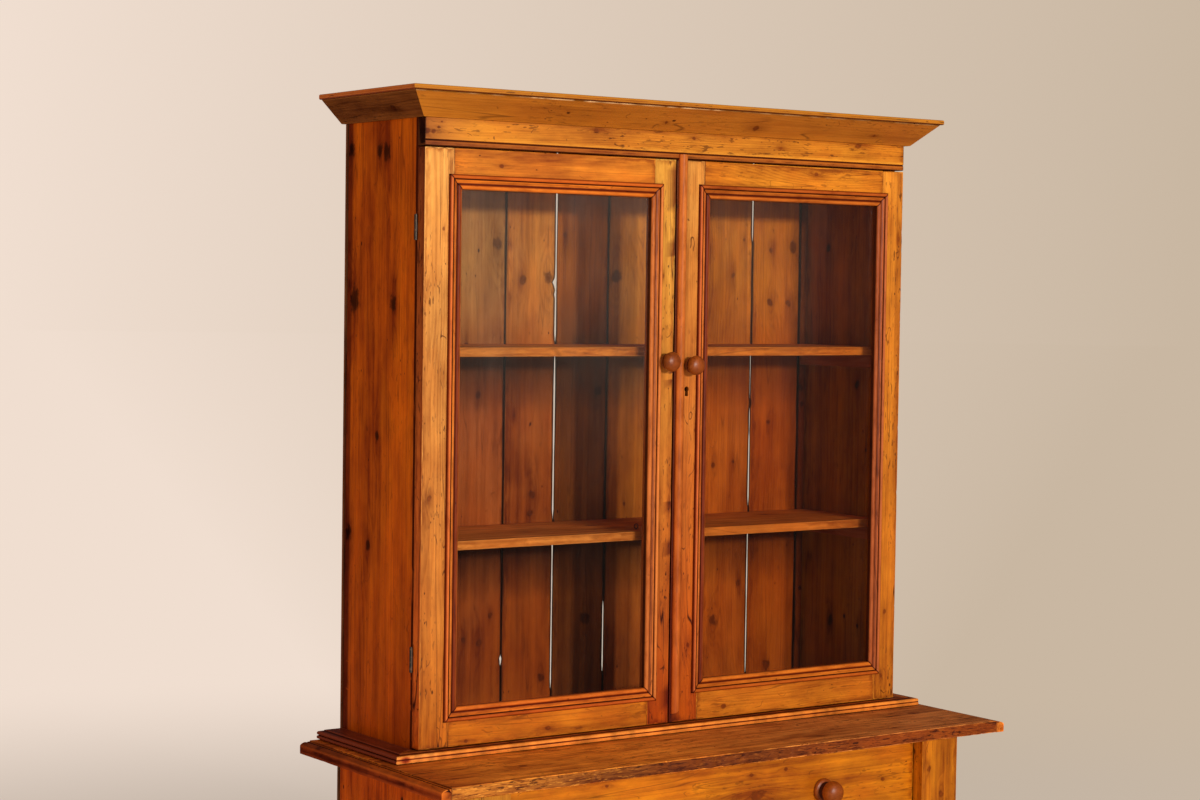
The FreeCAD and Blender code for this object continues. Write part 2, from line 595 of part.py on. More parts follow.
def glazed_door(side, x0, x1, hinge_stile, meet_stile, top_rail, bottom_rail, lap_l, lap_r):
    hinge_left = side == "left"
    wl, wr_ = (hinge_stile, meet_stile) if hinge_left else (meet_stile, hinge_stile)
    ox0, ox1 = x0 + wl, x1 - wr_                    # opening of the frame
    oz0, oz1 = d_low + bottom_rail, d_high - top_rail
    tt, tl = S["tenon_thick"], S["tenon_long"]
    ty = face + 9
    # mortises, 0.2 longer than the tenons
    for which, a, b, ox, sgn in (("l", x0, ox0, ox0, -1), ("r", ox1, x1, ox1, 1)):
        is_hinge = (which == "l") == hinge_left
        label = "%s_door_%s_stile" % (side, "hinge" if is_hinge else "meeting")
        plank = box(label + "_plank", a, b, face, door_back, d_low, d_high)
        tools = []
        m0, m1 = (ox - tl - 0.2, ox + 1) if sgn < 0 else (ox - 1, ox + tl + 0.2)
        tools.append(box(label + "_mortise_low", m0, m1, ty, ty + tt, d_low + 10, oz0 - 8))
        tools.append(box(label + "_mortise_high", m0, m1, ty, ty + tt, oz1 + 8, d_high - 10))
        if is_hinge:
            for k, z in enumerate(HINGE_Z):
                h0, h1 = (a - 1, a + 24.2) if hinge_left else (b - 24.2, b + 1)
                tools.append(box("%s_seat%d" % (label, k), h0, h1, door_back - 1.5, door_back + 1, z, z + S["hinge_high"]))
        else:
            kx, kz = (KNOB_L if hinge_left else KNOB_R)
            tools.append(rod(label + "_knob_hole", 6.1, kx, face - 1, kz, "y", 19))
            if hinge_left:
                # mortise that takes the lock's bolt
                tools.append(box(label + "_bolt_mortise", b - 12, b + 1, LOCK_Y0 - 0.4, LOCK_Y0 + 5.4, LOCK_Z - 0.4, LOCK_Z + 12.4))
            else:
                tools.append(box(label + "_lock_seat", a - 1, a + 50, door_back - 13, door_back + 1, LOCK_Z - 37, LOCK_Z + 33))
                tools.append(rod(label + "_keyhole_round", 5.4, KEY_X, face - 1, KEY_Z + 5, "y", 16))
                tools.append(box(label + "_keyhole_slot", KEY_X - 3.4, KEY_X + 3.4, face - 1, face + 15, KEY_Z - 10, KEY_Z + 5))
        node(label, cut(label, plank, tools))
    rails = []
    for name, z0, z1, zt0, zt1 in (("bottom", d_low, oz0, d_low + 10, oz0 - 8), ("top", oz1, d_high, oz1 + 8, d_high - 10)):
        rails.append(fuse("%s_door_%s_rail" % (side, name), [
            box("%s_%s_rail_board" % (side, name), ox0, ox1, face, door_back, z0, z1),
            box("%s_%s_rail_tenons" % (side, name), ox0 - tl, ox1 + tl, ty, ty + tt, zt0, zt1)]))
    node("%s_door_rails" % side, group("%s_door_rails" % side, rails))
    # mouldings, mitred at the corners
    mw = S["mould_width"]
    mx0, mx1 = ox0 - lap_l, ox1 + lap_r             # outer rectangle
    mz0, mz1 = oz0 - S["lap_rail"], oz1 + S["lap_rail"]
    yy = lambda n: face + n
    e = 30.0
    mould = []
    bl = [(mx0, mz0), (mx0 + e + mw, mz0 + e + mw), (mx0 - e, mz0 + e + mw), (mx0 - e, mz0)]
    br = [(mx1, mz0), (mx1 + e, mz0), (mx1 + e, mz0 + e + mw), (mx1 - e - mw, mz0 + e + mw)]
    mould.append(prism("%s_mould_bottom" % side, "yz", [(y, z) if len(t) == 2 else ("arc", y, z) for t, (z, y) in
                 [(t, (t[-2], t[-1])) for t in mould_profile(lambda n: mz0 + n, yy, S["lap_rail"])]], mx0, mx1, ("xz", [bl, br])))
    tl_ = [(mx0, mz1), (mx0 - e, mz1), (mx0 - e, mz1 - e - mw), (mx0 + e + mw, mz1 - e - mw)]
    tr_ = [(mx1, mz1), (mx1 - e - mw, mz1 - e - mw), (mx1 + e, mz1 - e - mw), (mx1 + e, mz1)]
    mould.append(prism("%s_mould_top" % side, "yz", [(y, z) if len(t) == 2 else ("arc", y, z) for t, (z, y) in
                 [(t, (t[-2], t[-1])) for t in mould_profile(lambda n: mz1 - n, yy, S["lap_rail"])]], mx0, mx1, ("xz", [tl_, tr_])))
    for name, w, lap, c0, c1 in (
            ("left", lambda n: mx0 + n, lap_l,
             [(mx0, mz0), (mx0 + e + mw, mz0 + e + mw), (mx0 + e + mw, mz0 - e), (mx0, mz0 - e)],
             [(mx0, mz1), (mx0, mz1 + e), (mx0 + e + mw, mz1 + e), (mx0 + e + mw, mz1 - e - mw)]),
            ("right", lambda n: mx1 - n, lap_r,
             [(mx1, mz0), (mx1, mz0 - e), (mx1 - e - mw, mz0 - e), (mx1 - e - mw, mz0 + e + mw)],
             [(mx1, mz1), (mx1 - e - mw, mz1 - e - mw), (mx1 - e - mw, mz1 + e), (mx1, mz1 + e)])):
        mould.append(prism("%s_mould_%s" % (side, name), "xy", mould_profile(w, yy, lap), mz0, mz1, ("xz", [c0, c1])))
    # the laps differ, so the rebates are trimmed to the opening of the frame where they meet
    frame_zone = [
        (mx0 - 5, ox0, mz0 - 5, mz1 + 5), (ox1, mx1 + 5, mz0 - 5, mz1 + 5),
        (mx0 - 5, mx1 + 5, mz0 - 5, oz0), (mx0 - 5, mx1 + 5, oz1, mz1 + 5)]
    trimmed = []
    for m in mould:
        zones = [box("%s_zone%d" % (m.Name, j), a, b, face, face + 12, c, d) for j, (a, b, c, d) in enumerate(frame_zone)]
        trimmed.append(cut(m.Name + "_trimmed", m, [fuse(m.Name + "_zones", zones)]))
    node("%s_door_moulding" % side, group("%s_door_moulding" % side, trimmed))
    # glass and the beads behind it
    g0 = face + S["glass_back"]
    g1 = g0 + S["glass_thick"]
    node("%s_door_glass" % side, box("%s_door_glass" % side, ox0 + 1, ox1 - 1, g0, g1, oz0 + 1, oz1 - 1))
    bs = S["bead_size"]
    beads = [
        box("%s_bead_left" % side, ox0, ox0 + bs, g1, g1 + bs, oz0, oz1),
        box("%s_bead_right" % side, ox1 - bs, ox1, g1, g1 + bs, oz0, oz1),
        box("%s_bead_bottom" % side, ox0 + bs, ox1 - bs, g1, g1 + bs, oz0, oz0 + bs),
        box("%s_bead_top" % side, ox0 + bs, ox1 - bs, g1, g1 + bs, oz1 - bs, oz1)]
    node("%s_door_glazing_beads" % side, group("%s_door_glazing_beads" % side, beads))


KNOB_L = (dim(-36.3), d_low + 779)
KNOB_R = (dim(28.5), d_low + 771)
KEY_X, KEY_Z = dim(24.6), d_low + 714.5
LOCK_Y0 = door_back - 9.5
LOCK_Z = d_low + 714

glazed_door("left", -half, -S["left_edge"], S["stile_lh"], S["stile_lm"], S["rail_lt"], S["rail_lb"], S["lap_lh"], S["lap_lm"])
glazed_door("right", -S["right_edge"], half, S["stile_rh"], S["stile_rm"], S["rail_rt"], S["rail_rb"], S["lap_rm"], S["lap_rh"])

DOOR_KNOB = [(0, -17), (6, -17), (6, 0), (10.3, 0), (10.5, 5), (10.9, 8.8), (15.6, 9.4), ("arc", 17, 11.2), (15.6, 13.4),
             (12.6, 14.4), (11.8, 16.8), (13.4, 19), ("arc", 19.2, 22.6), (21, 28.2), ("arc", 18.8, 34.6), (11, 39.6),
             ("arc", 7.6, 40.7), (4, 41.2), (0, 41.2)]
node("left_door_knob", turned("left_door_knob", DOOR_KNOB, KNOB_L[0], face, KNOB_L[1]))
node("right_door_knob", turned("right_door_knob", DOOR_KNOB, KNOB_R[0], face, KNOB_R[1]))

# Half-round bead on the meeting edge of the right door; its lower end is broken off on a slant.
ar = S["astragal_r"]
bx = -S["right_edge"] + 3.6 + ar
bead_low, bead_high = d_low + 17, d_high + 12
node("meeting_bead", prism("meeting_bead", "xy", [(bx - ar, face - 0.3), ("arc", bx, face - 0.3 - ar * 0.97), (bx + ar, face - 0.3)],
                           bead_low, bead_high,
                           ("xz", [[(bx - ar - 6, bead_low - 8), (bx + ar + 6, bead_low - 8), (bx + ar + 6, bead_low + 10),
                                    (bx - ar - 6, bead_low + 0.5)]])))

# Lock: a flat case let into the back of the right door, with a sliding bolt.
lx = -S["right_edge"]
lock_body = box("lock_body", lx, lx + 50, door_back - 13, door_back, LOCK_Z - 37, LOCK_Z + 33)
lock_slot = box("lock_slot", lx - 1, lx + 40, LOCK_Y0 - 0.25, LOCK_Y0 + 5.25, LOCK_Z - 0.25, LOCK_Z + 12.25)
lock_key = rod("lock_key_hole", 4, KEY_X, door_back - 14, KEY_Z + 5, "y", 3)
node("lock_case", cut("lock_case", lock_body, [lock_slot, lock_key]))
node("lock_bolt", box("lock_bolt", lx + 0.5, lx + 30, LOCK_Y0, LOCK_Y0 + 5, LOCK_Z, LOCK_Z + 12))

# Bolt on the back of the left door: a plate with two staples, and a round rod that drops into the bottom board.
bz = w_top + 19.5
plate = box("left_bolt_strap", bolt_x - 11, bolt_x + 11, door_back, door_back + 1.6, bz + 2, bz + 56)
staples = []
for k, z in enumerate((bz + 8, bz + 42)):
    staples.append(box("left_bolt_staple%d" % k, bolt_x - 6, bolt_x + 6, door_back + 1.2, bolt_y + 4.6, z, z + 8))
strap = fuse("left_bolt_strap_staples", [plate] + staples)
node("left_bolt_plate", cut("left_bolt_plate", strap, [rod("left_bolt_bore", 3.1, bolt_x, bolt_y, bz - 1, "z", 60)]))
node("left_bolt_rod", fuse("left_bolt_rod", [
    rod("left_bolt_shaft", 3.0, bolt_x, bolt_y, bz, "z", 54),
    rod("left_bolt_pull", 2.2, bolt_x, bolt_y, bz + 32, "y", 10)]))

# ---------------------------------------------------------------------------------------------------------------
# Hinges. The door leaf has the middle knuckle, the case leaf the outer two, and the pin stays with the case.
# ---------------------------------------------------------------------------------------------------------------
hh, kr, br_ = S["hinge_high"], S["knuckle_r"], S["bore_r"]
case_leaves, pins = [], []
third = hh * (1.0 / 3.0)


def upper_hinge(side, k, z, ax):
    sgn = 1 if side == "left" else -1               # direction from the axis into the door
    ends = lambda a, b: (ax + sgn * a, ax + sgn * b) if sgn > 0 else (ax + sgn * b, ax + sgn * a)
    a, b = ends(3.5, 27.5)
    p1 = box("%s_door_leaf%d_plate" % (side, k), a, b, door_back - 1.5, door_back, z, z + hh)
    a, b = ends(0, 3.6)
    p2 = box("%s_door_leaf%d_tab" % (side, k), a, b, door_back - 1.5, door_back, z + third + 0.15, z + 2 * third - 0.15)
    p3 = rod("%s_door_leaf%d_knuckle" % (side, k), kr, ax, axis_y, z + third + 0.15, "z", third - 0.3)
    door_leaf = cut("%s_door_leaf%d" % (side, k), fuse("%s_door_leaf%d_blank" % (side, k), [p1, p2, p3]),
                    [rod("%s_door_leaf%d_bore" % (side, k), br_, ax, axis_y, z - 1, "z", hh + 2)])
    a, b = ends(3.5, 21.3)
    q1 = box("%s_case_leaf%d_plate" % (side, k), a, b, case_front, case_front + 1.5, z, z + hh)
    a, b = ends(0, 3.6)
    q = [q1]
    for j, (z0, z1) in enumerate(((z, z + third), (z + 2 * third, z + hh))):
        q.append(box("%s_case_leaf%d_tab%d" % (side, k, j), a, b, case_front, case_front + 1.5, z0, z1))
        q.append(rod("%s_case_leaf%d_knuckle%d" % (side, k, j), kr, ax, axis_y, z0, "z", z1 - z0))
    case_leaves.append(cut("%s_case_leaf%d" % (side, k), fuse("%s_case_leaf%d_blank" % (side, k), q),
                           [rod("%s_case_leaf%d_bore" % (side, k), br_, ax, axis_y, z - 1, "z", hh + 2)]))
    pins.append(fuse("%s_pin%d" % (side, k), [rod("%s_pin%d_shaft" % (side, k), S["pin_r"], ax, axis_y, z, "z", hh + 0.6),
                                             rod("%s_pin%d_head" % (side, k), 2.6, ax, axis_y, z + hh, "z", 1.4)]))
    return door_leaf


for side, ax in (("left", axis_l), ("right", axis_r)):
    leaves = [upper_hinge(side, k, z, ax) for k, z in enumerate(HINGE_Z)]
    node("%s_door_hinge_leaves" % side, group("%s_door_hinge_leaves" % side, leaves))

# ---------------------------------------------------------------------------------------------------------------
# Drawer
# ---------------------------------------------------------------------------------------------------------------
df = bf + S["drawer_recess"]
dfb = df + S["drawer_front_t"]
dl, dh = S["drawer_low"], S["drawer_high"]
dx = si - S["drawer_gap"]
dt = S["drawer_side_t"]
dbk = df + S["drawer_deep"]
KNOB_X, KNOB_Z = dim(280), dl + 85.5
node("drawer_front", cut("drawer_front", box("drawer_front_board", -dx, dx, df, dfb, dl, dh), [
    rod("drawer_knob_hole_l", 8.1, -KNOB_X, df - 1, KNOB_Z, "y", 30), rod("drawer_knob_hole_r", 8.1, KNOB_X, df - 1, KNOB_Z, "y", 30)]))
dside = []
for name, a, b in (("left", -dx, -dx + dt), ("right", dx - dt, dx)):
    dside.append(box("drawer_side_" + name, a, b, dfb, dbk, dl, dl + S["drawer_side_h"]))
node("drawer_sides", group("drawer_sides", dside))
node("drawer_back", box("drawer_back", -dx + dt, dx - dt, dbk - dt, dbk, dl + 14, dl + S["drawer_side_h"] - 14))
node("drawer_bottom", box("drawer_bottom", -dx + dt, dx - dt, dfb, dbk, dl + 6, dl + 6 + S["drawer_floor_t"]))
DRAWER_KNOB = [(0, -22), (8, -22), (8, 0), (24.6, 0), ("arc", 25.8, 4.4), (22.5, 9.2), (16, 11.4), (13.6, 16), (15.2, 20.4),
               ("arc", 22.6, 26), (24.6, 35), ("arc", 22.0, 44.6), (13, 51.2), ("arc", 9, 52.6), (4.5, 53.4), (0, 53.4)]
node("drawer_knobs", group("drawer_knobs", [turned("drawer_knob_left", DRAWER_KNOB, -KNOB_X, df, KNOB_Z),
                                           turned("drawer_knob_right", DRAWER_KNOB, KNOB_X, df, KNOB_Z)]))

# ---------------------------------------------------------------------------------------------------------------
# Lower doors: framed, with a flat panel in a groove
# ---------------------------------------------------------------------------------------------------------------
lz0, lz1 = S["ldoor_low"], S["ldoor_high"]
lf, lb_ = bf + 1.0, bf + 1.0 + S["ldoor_thick"]
lw = S["ldoor_stile"]
LKNOB = [(0, -17), (6, -17), (6, 0), (16.5, 0), ("arc", 17.6, 3.4), (15.0, 6.6), (11.6, 9), (11.2, 13), (13.4, 15.8),
         ("arc", 18.6, 19), (20, 25), ("arc", 17.8, 32), (10.6, 36.4), ("arc", 7.4, 37.4), (4, 38), (0, 38)]
for side, sgn in (("left", -1), ("right", 1)):
    hx, mx = sgn * (si - gap), sgn * S["ldoor_meet"]
    lo, hi = (hx, mx) if sgn < 0 else (mx, hx)
    pieces = []
    for name, a, b in (("outer", lo, lo + lw), ("inner", hi - lw, hi)):
        hinge_side = (name == "outer") == (sgn < 0)
        plank = box("lower_%s_stile_%s_plank" % (side, name), a, b, lf, lb_, lz0, lz1)
        tools = []
        g0_, g1_ = (b - 9, b + 1) if name == "outer" else (a - 1, a + 9)
        tools.append(box("lower_%s_%s_groove" % (side, name), g0_, g1_, lf + 7, lf + 7 + S["ldoor_panel"], lz0 + lw - 9, lz1 - lw + 9))
        if hinge_side:
            for k, z in enumerate(LHINGE_Z):
                p, q = (a - 1, a + 1.2) if sgn < 0 else (b - 1.2, b + 1)
                tools.append(box("lower_%s_%s_seat%d" % (side, name, k), p, q, lf - 1, lf + 19.3, z, z + hh))
        else:
            tools.append(rod("lower_%s_knob_hole" % side, 6.1, sgn * 38.0 + mx * 0, lf - 1, lz0 + 262, "y", 19))
        pieces.append(cut("lower_%s_stile_%s" % (side, name), plank, tools))
    for name, z0, z1 in (("bottom", lz0, lz0 + lw), ("top", lz1 - lw, lz1)):
        board_ = box("lower_%s_rail_%s_board" % (side, name), lo + lw, hi - lw, lf, lb_, z0, z1)
        r0, r1 = (z1 - 9, z1 + 1) if name == "bottom" else (z0 - 1, z0 + 9)
        pieces.append(cut("lower_%s_rail_%s" % (side, name), board_, [
            box("lower_%s_rail_%s_groove" % (side, name), lo + lw - 1, hi - lw + 1, lf + 7, lf + 7 + S["ldoor_panel"], r0, r1)]))
    node("lower_%s_door_frame" % side, group("lower_%s_door_frame" % side, pieces))
    node("lower_%s_door_panel" % side, box("lower_%s_door_panel" % side, lo + lw - 8.5, hi - lw + 8.5, lf + 7,
                                           lf + 7 + S["ldoor_panel"], lz0 + lw - 8.5, lz1 - lw + 8.5))
    node("lower_%s_door_knob" % side, turned("lower_%s_door_knob" % side, LKNOB, dim(sgn * 38.0), lf, lz0 + 262))
    # butt hinges in the gap beside the stile; the knuckles stand in front of it
    ax = sgn * (si - gap * 0.5)
    leaves = []
    for k, z in enumerate(LHINGE_Z):
        tag = "lower_%s_hinge%d" % (side, k)
        # into the door
        a, b = (hx, hx + 1.2) if sgn < 0 else (hx - 1.2, hx)
        p1 = box(tag + "_door_plate", a, b, bf + 0.3, bf + 20.3, z, z + hh)
        a, b = (hx - 0.4, hx + 1.2) if sgn < 0 else (hx - 1.2, hx + 0.4)
        p2 = box(tag + "_door_tab", a, b, laxis_y, bf + 0.4, z + third + 0.15, z + 2 * third - 0.15)
        p3 = rod(tag + "_door_knuckle", 3.0, ax, laxis_y, z + third + 0.15, "z", third - 0.3)
        leaves.append(cut(tag + "_door_leaf", fuse(tag + "_door_blank", [p1, p2, p3]),
                          [rod(tag + "_door_bore", br_, ax, laxis_y, z - 1, "z", hh + 2)]))
        cx = sgn * si
        a, b = (cx - 1.2, cx) if sgn < 0 else (cx, cx + 1.2)
        q = [box(tag + "_case_plate", a, b, bf + 0.3, bf + 20.3, z, z + hh)]
        a, b = (cx - 1.2, cx + 0.4) if sgn < 0 else (cx - 0.4, cx + 1.2)
        for j, (z0, z1) in enumerate(((z, z + third), (z + 2 * third, z + hh))):
            q.append(box("%s_case_tab%d" % (tag, j), a, b, laxis_y, bf + 0.4, z0, z1))
            q.append(rod("%s_case_knuckle%d" % (tag, j), 3.0, ax, laxis_y, z0, "z", z1 - z0))
        case_leaves.append(cut(tag + "_case_leaf", fuse(tag + "_case_blank", q),
                               [rod(tag + "_case_bore", br_, ax, laxis_y, z - 1, "z", hh + 2)]))
        pins.append(fuse(tag + "_pin", [rod(tag + "_pin_shaft", S["pin_r"], ax, laxis_y, z, "z", hh + 0.6),
                                        rod(tag + "_pin_head", 2.4, ax, laxis_y, z + hh, "z", 1.4)]))
    node("lower_%s_door_hinge_leaves" % side, group("lower_%s_door_hinge_leaves" % side, leaves))

node("hinge_case_leaves", group("hinge_case_leaves", case_leaves))
node("hinge_pins", group("hinge_pins", pins))

# ---------------------------------------------------------------------------------------------------------------
# Check and write
# ---------------------------------------------------------------------------------------------------------------
doc.recompute()
bad = [o.Name for o in doc.Objects if "Invalid" in o.State or "Error" in o.State]
if bad:
    raise RuntimeError("failed objects: " + ", ".join(bad))
for label, obj in NODES.items():
    shape = obj.Shape
    if shape.isNull() or not shape.isValid() or not shape.Solids:
        raise RuntimeError("bad shape: " + label)
os.makedirs("parts", exist_ok=True)
lo = [1e9] * 3
hi = [-1e9] * 3
for label, obj in NODES.items():
    obj.Shape.exportStep("parts/%s.step" % label)
    b = obj.Shape.BoundBox
    for i, (p, q) in enumerate(((b.XMin, b.XMax), (b.YMin, b.YMax), (b.ZMin, b.ZMax))):
        lo[i], hi[i] = min(lo[i], p), max(hi[i], q)
    print("%-28s %2d solids  %9.1f %9.1f  %9.1f %9.1f  %9.1f %9.1f" % (label, len(obj.Shape.Solids), b.XMin, b.XMax, b.YMin,
                                                                  b.YMax, b.ZMin, b.ZMax))
print(len(NODES), "nodes; box", [round(v, 2) for v in lo], [round(v, 2) for v in hi])
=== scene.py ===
"""Step back cupboard: the detailed visual model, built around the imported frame.

Coordinates are written in millimetres in the frame of the CAD (x right, y back, z up) and turned into metres when a
mesh is made. Every wooden part is a loft or a sweep with worn edges; the finish comes from one family of node materials
that read the grain direction, the place on the board and the tint from attributes of the mesh.
"""
import bmesh
import bpy
import math
import random
from mathutils import Matrix, Vector


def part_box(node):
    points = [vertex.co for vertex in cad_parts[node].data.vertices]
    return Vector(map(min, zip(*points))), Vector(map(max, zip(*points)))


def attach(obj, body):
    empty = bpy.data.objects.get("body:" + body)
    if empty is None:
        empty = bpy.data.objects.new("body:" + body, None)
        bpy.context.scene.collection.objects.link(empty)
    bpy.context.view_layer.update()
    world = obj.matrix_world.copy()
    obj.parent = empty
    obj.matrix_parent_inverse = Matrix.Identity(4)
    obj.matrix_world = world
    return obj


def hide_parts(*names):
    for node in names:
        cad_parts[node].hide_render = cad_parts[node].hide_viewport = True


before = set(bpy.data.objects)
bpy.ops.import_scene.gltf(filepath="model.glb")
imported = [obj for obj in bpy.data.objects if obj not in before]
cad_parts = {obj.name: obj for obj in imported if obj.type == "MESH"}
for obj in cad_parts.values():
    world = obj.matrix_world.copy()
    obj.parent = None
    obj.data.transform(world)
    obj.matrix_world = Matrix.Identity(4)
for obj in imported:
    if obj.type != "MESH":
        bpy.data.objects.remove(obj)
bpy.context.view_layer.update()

MM = 0.001

# ---------------------------------------------------------------------------------------------------------------------
# Camera, at the viewing angle of the reference
# ---------------------------------------------------------------------------------------------------------------------


def make_camera():
    yaw, pitch, roll = math.radians(-35.01), math.radians(2.55), math.radians(0.83)
    c, s = math.cos(yaw), math.sin(yaw)
    cp, sp = math.cos(pitch), math.sin(pitch)
    cr, sr = math.cos(roll), math.sin(roll)
    right0 = Vector((c, s, 0.0))
    ahead = Vector((-s * cp, c * cp, -sp))
    up0 = Vector((-s * sp, c * sp, cp))
    right = cr * right0 + sr * up0
    up = -sr * right0 + cr * up0
    m = Matrix.Identity(4)
    for col, v in enumerate((right, up, -ahead)):
        for row in range(3):
            m[row][col] = v[row]
    m[0][3], m[1][3], m[2][3] = -3.1211, -4.2002, 1.7683
    data = bpy.data.cameras.new("camera")
    data.lens = 72.81
    data.sensor_fit = "HORIZONTAL"
    data.sensor_width = 36.0
    data.clip_end = 200.0
    cam = bpy.data.objects.new("camera", data)
    bpy.context.scene.collection.objects.link(cam)
    cam.matrix_world = m
    bpy.context.scene.camera = cam


make_camera()

# ---------------------------------------------------------------------------------------------------------------------
# Small mathematics
# ---------------------------------------------------------------------------------------------------------------------


def hashed(i, seed):
    v = math.sin(i * 12.9898 + seed * 78.233 + 3.7) * 43758.5453
    return v - math.floor(v)


def wob(x, seed):
    """Smooth noise along a line, from -1 to 1."""
    i = math.floor(x)
    f = x - i
    f = f * f * (3 - 2 * f)
    return (hashed(i, seed) * (1 - f) + hashed(i + 1, seed) * f) * 2 - 1


def arc_points(p0, pm, p1, n):
    """Points after p0 up to p1 on the circle through three points."""
    ax, ay = p0
    bx, by = pm
    cx, cy = p1
    d = 2 * (ax * (by - cy) + bx * (cy - ay) + cx * (ay - by))
    if abs(d) < 1e-9:
        return [p1]
    ux = ((ax * ax + ay * ay) * (by - cy) + (bx * bx + by * by) * (cy - ay) + (cx * cx + cy * cy) * (ay - by)) / d
    uy = ((ax * ax + ay * ay) * (cx - bx) + (bx * bx + by * by) * (ax - cx) + (cx * cx + cy * cy) * (bx - ax)) / d
    r = math.hypot(ax - ux, ay - uy)
    a0 = math.atan2(ay - uy, ax - ux)
    am = math.atan2(by - uy, bx - ux)
    a1 = math.atan2(cy - uy, cx - ux)
    turn = (a1 - a0) % (2 * math.pi)
    if (am - a0) % (2 * math.pi) > turn:
        turn -= 2 * math.pi
    out = []
    for k in range(1, n + 1):
        a = a0 + turn * k / n
        out.append((ux + r * math.cos(a), uy + r * math.sin(a)))
    return out


def outline(entries, n=7):
    """Expand a list of corner points and ("arc", u, v) mid points into plain points."""
    pts = []
    k = 0
    while k < len(entries):
        e = entries[k]
        if e[0] == "arc":
            pts.extend(arc_points(pts[-1], (e[1], e[2]), entries[k + 1], n))
            k += 2
        else:
            pts.append(e)
            k += 1
    return pts


def eased(points, r, limit=25.0, closed=True):
    """Round each corner of an outline that turns by more than the limit, with radius about r."""
    out = []
    n = len(points)
    for k in range(n):
        p = points[k]
        if not closed and k in (0, n - 1):
            out.append(p)
            continue
        a, b = points[k - 1], points[(k + 1) % n]
        ua = (a[0] - p[0], a[1] - p[1])
        ub = (b[0] - p[0], b[1] - p[1])
        la, lb = math.hypot(*ua), math.hypot(*ub)
        if la < 1e-6 or lb < 1e-6:
            continue
        cosang = max(-1.0, min(1.0, (ua[0] * ub[0] + ua[1] * ub[1]) / (la * lb)))
        turn = 180 - math.degrees(math.acos(cosang))
        if turn < limit:
            out.append(p)
            continue
        t = min(r, la * 0.45, lb * 0.45)
        p0 = (p[0] + ua[0] / la * t, p[1] + ua[1] / la * t)
        p1 = (p[0] + ub[0] / lb * t, p[1] + ub[1] / lb * t)
        for f in (0.0, 0.33, 0.67, 1.0):
            q = ((1 - f) ** 2 * p0[0] + 2 * f * (1 - f) * p[0] + f * f * p1[0],
                 (1 - f) ** 2 * p0[1] + 2 * f * (1 - f) * p[1] + f * f * p1[1])
            out.append(q)
    return out


def relief(points, reach=3.0):
    """For each point of a closed outline: outward normal, and how far it stands out (+) or lies in a hollow (-), in mm."""
    n = len(points)
    area = sum(points[k][0] * points[(k + 1) % n][1] - points[(k + 1) % n][0] * points[k][1] for k in range(n))
    side = 1.0 if area > 0 else -1.0

    def walk(k, step):
        left = reach
        p = points[k]
        i = k
        while left > 0:
            j = (i + step) % n
            q = points[j]
            d = math.hypot(q[0] - p[0], q[1] - p[1])
            if d >= left:
                f = left / d
                return (p[0] + (q[0] - p[0]) * f, p[1] + (q[1] - p[1]) * f)
            left -= d
            p = q
            i = j
        return p

    out = []
    for k in range(n):
        a, b = walk(k, -1), walk(k, 1)
        tx, ty = b[0] - a[0], b[1] - a[1]
        ln = math.hypot(tx, ty) or 1.0
        nx, ny = ty / ln * side, -tx / ln * side
        mx, my = (a[0] + b[0]) / 2, (a[1] + b[1]) / 2
        out.append(((nx, ny), (points[k][0] - mx) * nx + (points[k][1] - my) * ny))
    return out


def refined(points, near=1.4, step=8.0):
    """A closed outline with extra points, so that what is told to a corner stays at the corner."""
    out = []
    n = len(points)
    for k in range(n):
        (ax, ay), (bx, by) = points[k], points[(k + 1) % n]
        out.append((ax, ay))
        length = math.hypot(bx - ax, by - ay)
        if length > 2.4 * near:
            cuts = [near]
            inner = length - 2 * near
            m = max(1, int(math.ceil(inner / step)))
            cuts += [near + inner * q / m for q in range(1, m)] + [length - near]
            out.extend((ax + (bx - ax) * c / length, ay + (by - ay) * c / length) for c in cuts)
    return out


def srgb(r, g, b, k=1.0):
    def lin(v):
        v /= 255.0
        return v / 12.92 if v <= 0.04045 else ((v + 0.055) / 1.055) ** 2.4
    return tuple(lin(v) * k for v in (r, g, b))


def span(node):
    lo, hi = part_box(node)
    return [v / MM for v in lo], [v / MM for v in hi]


# ---------------------------------------------------------------------------------------------------------------------
# Pieces and boards
# ---------------------------------------------------------------------------------------------------------------------
KNOTS = 8
VECTORS = ("gco", "bloc", "bdim", "brnd", "btint") + tuple("k%d" % (i + 1) for i in range(KNOTS))


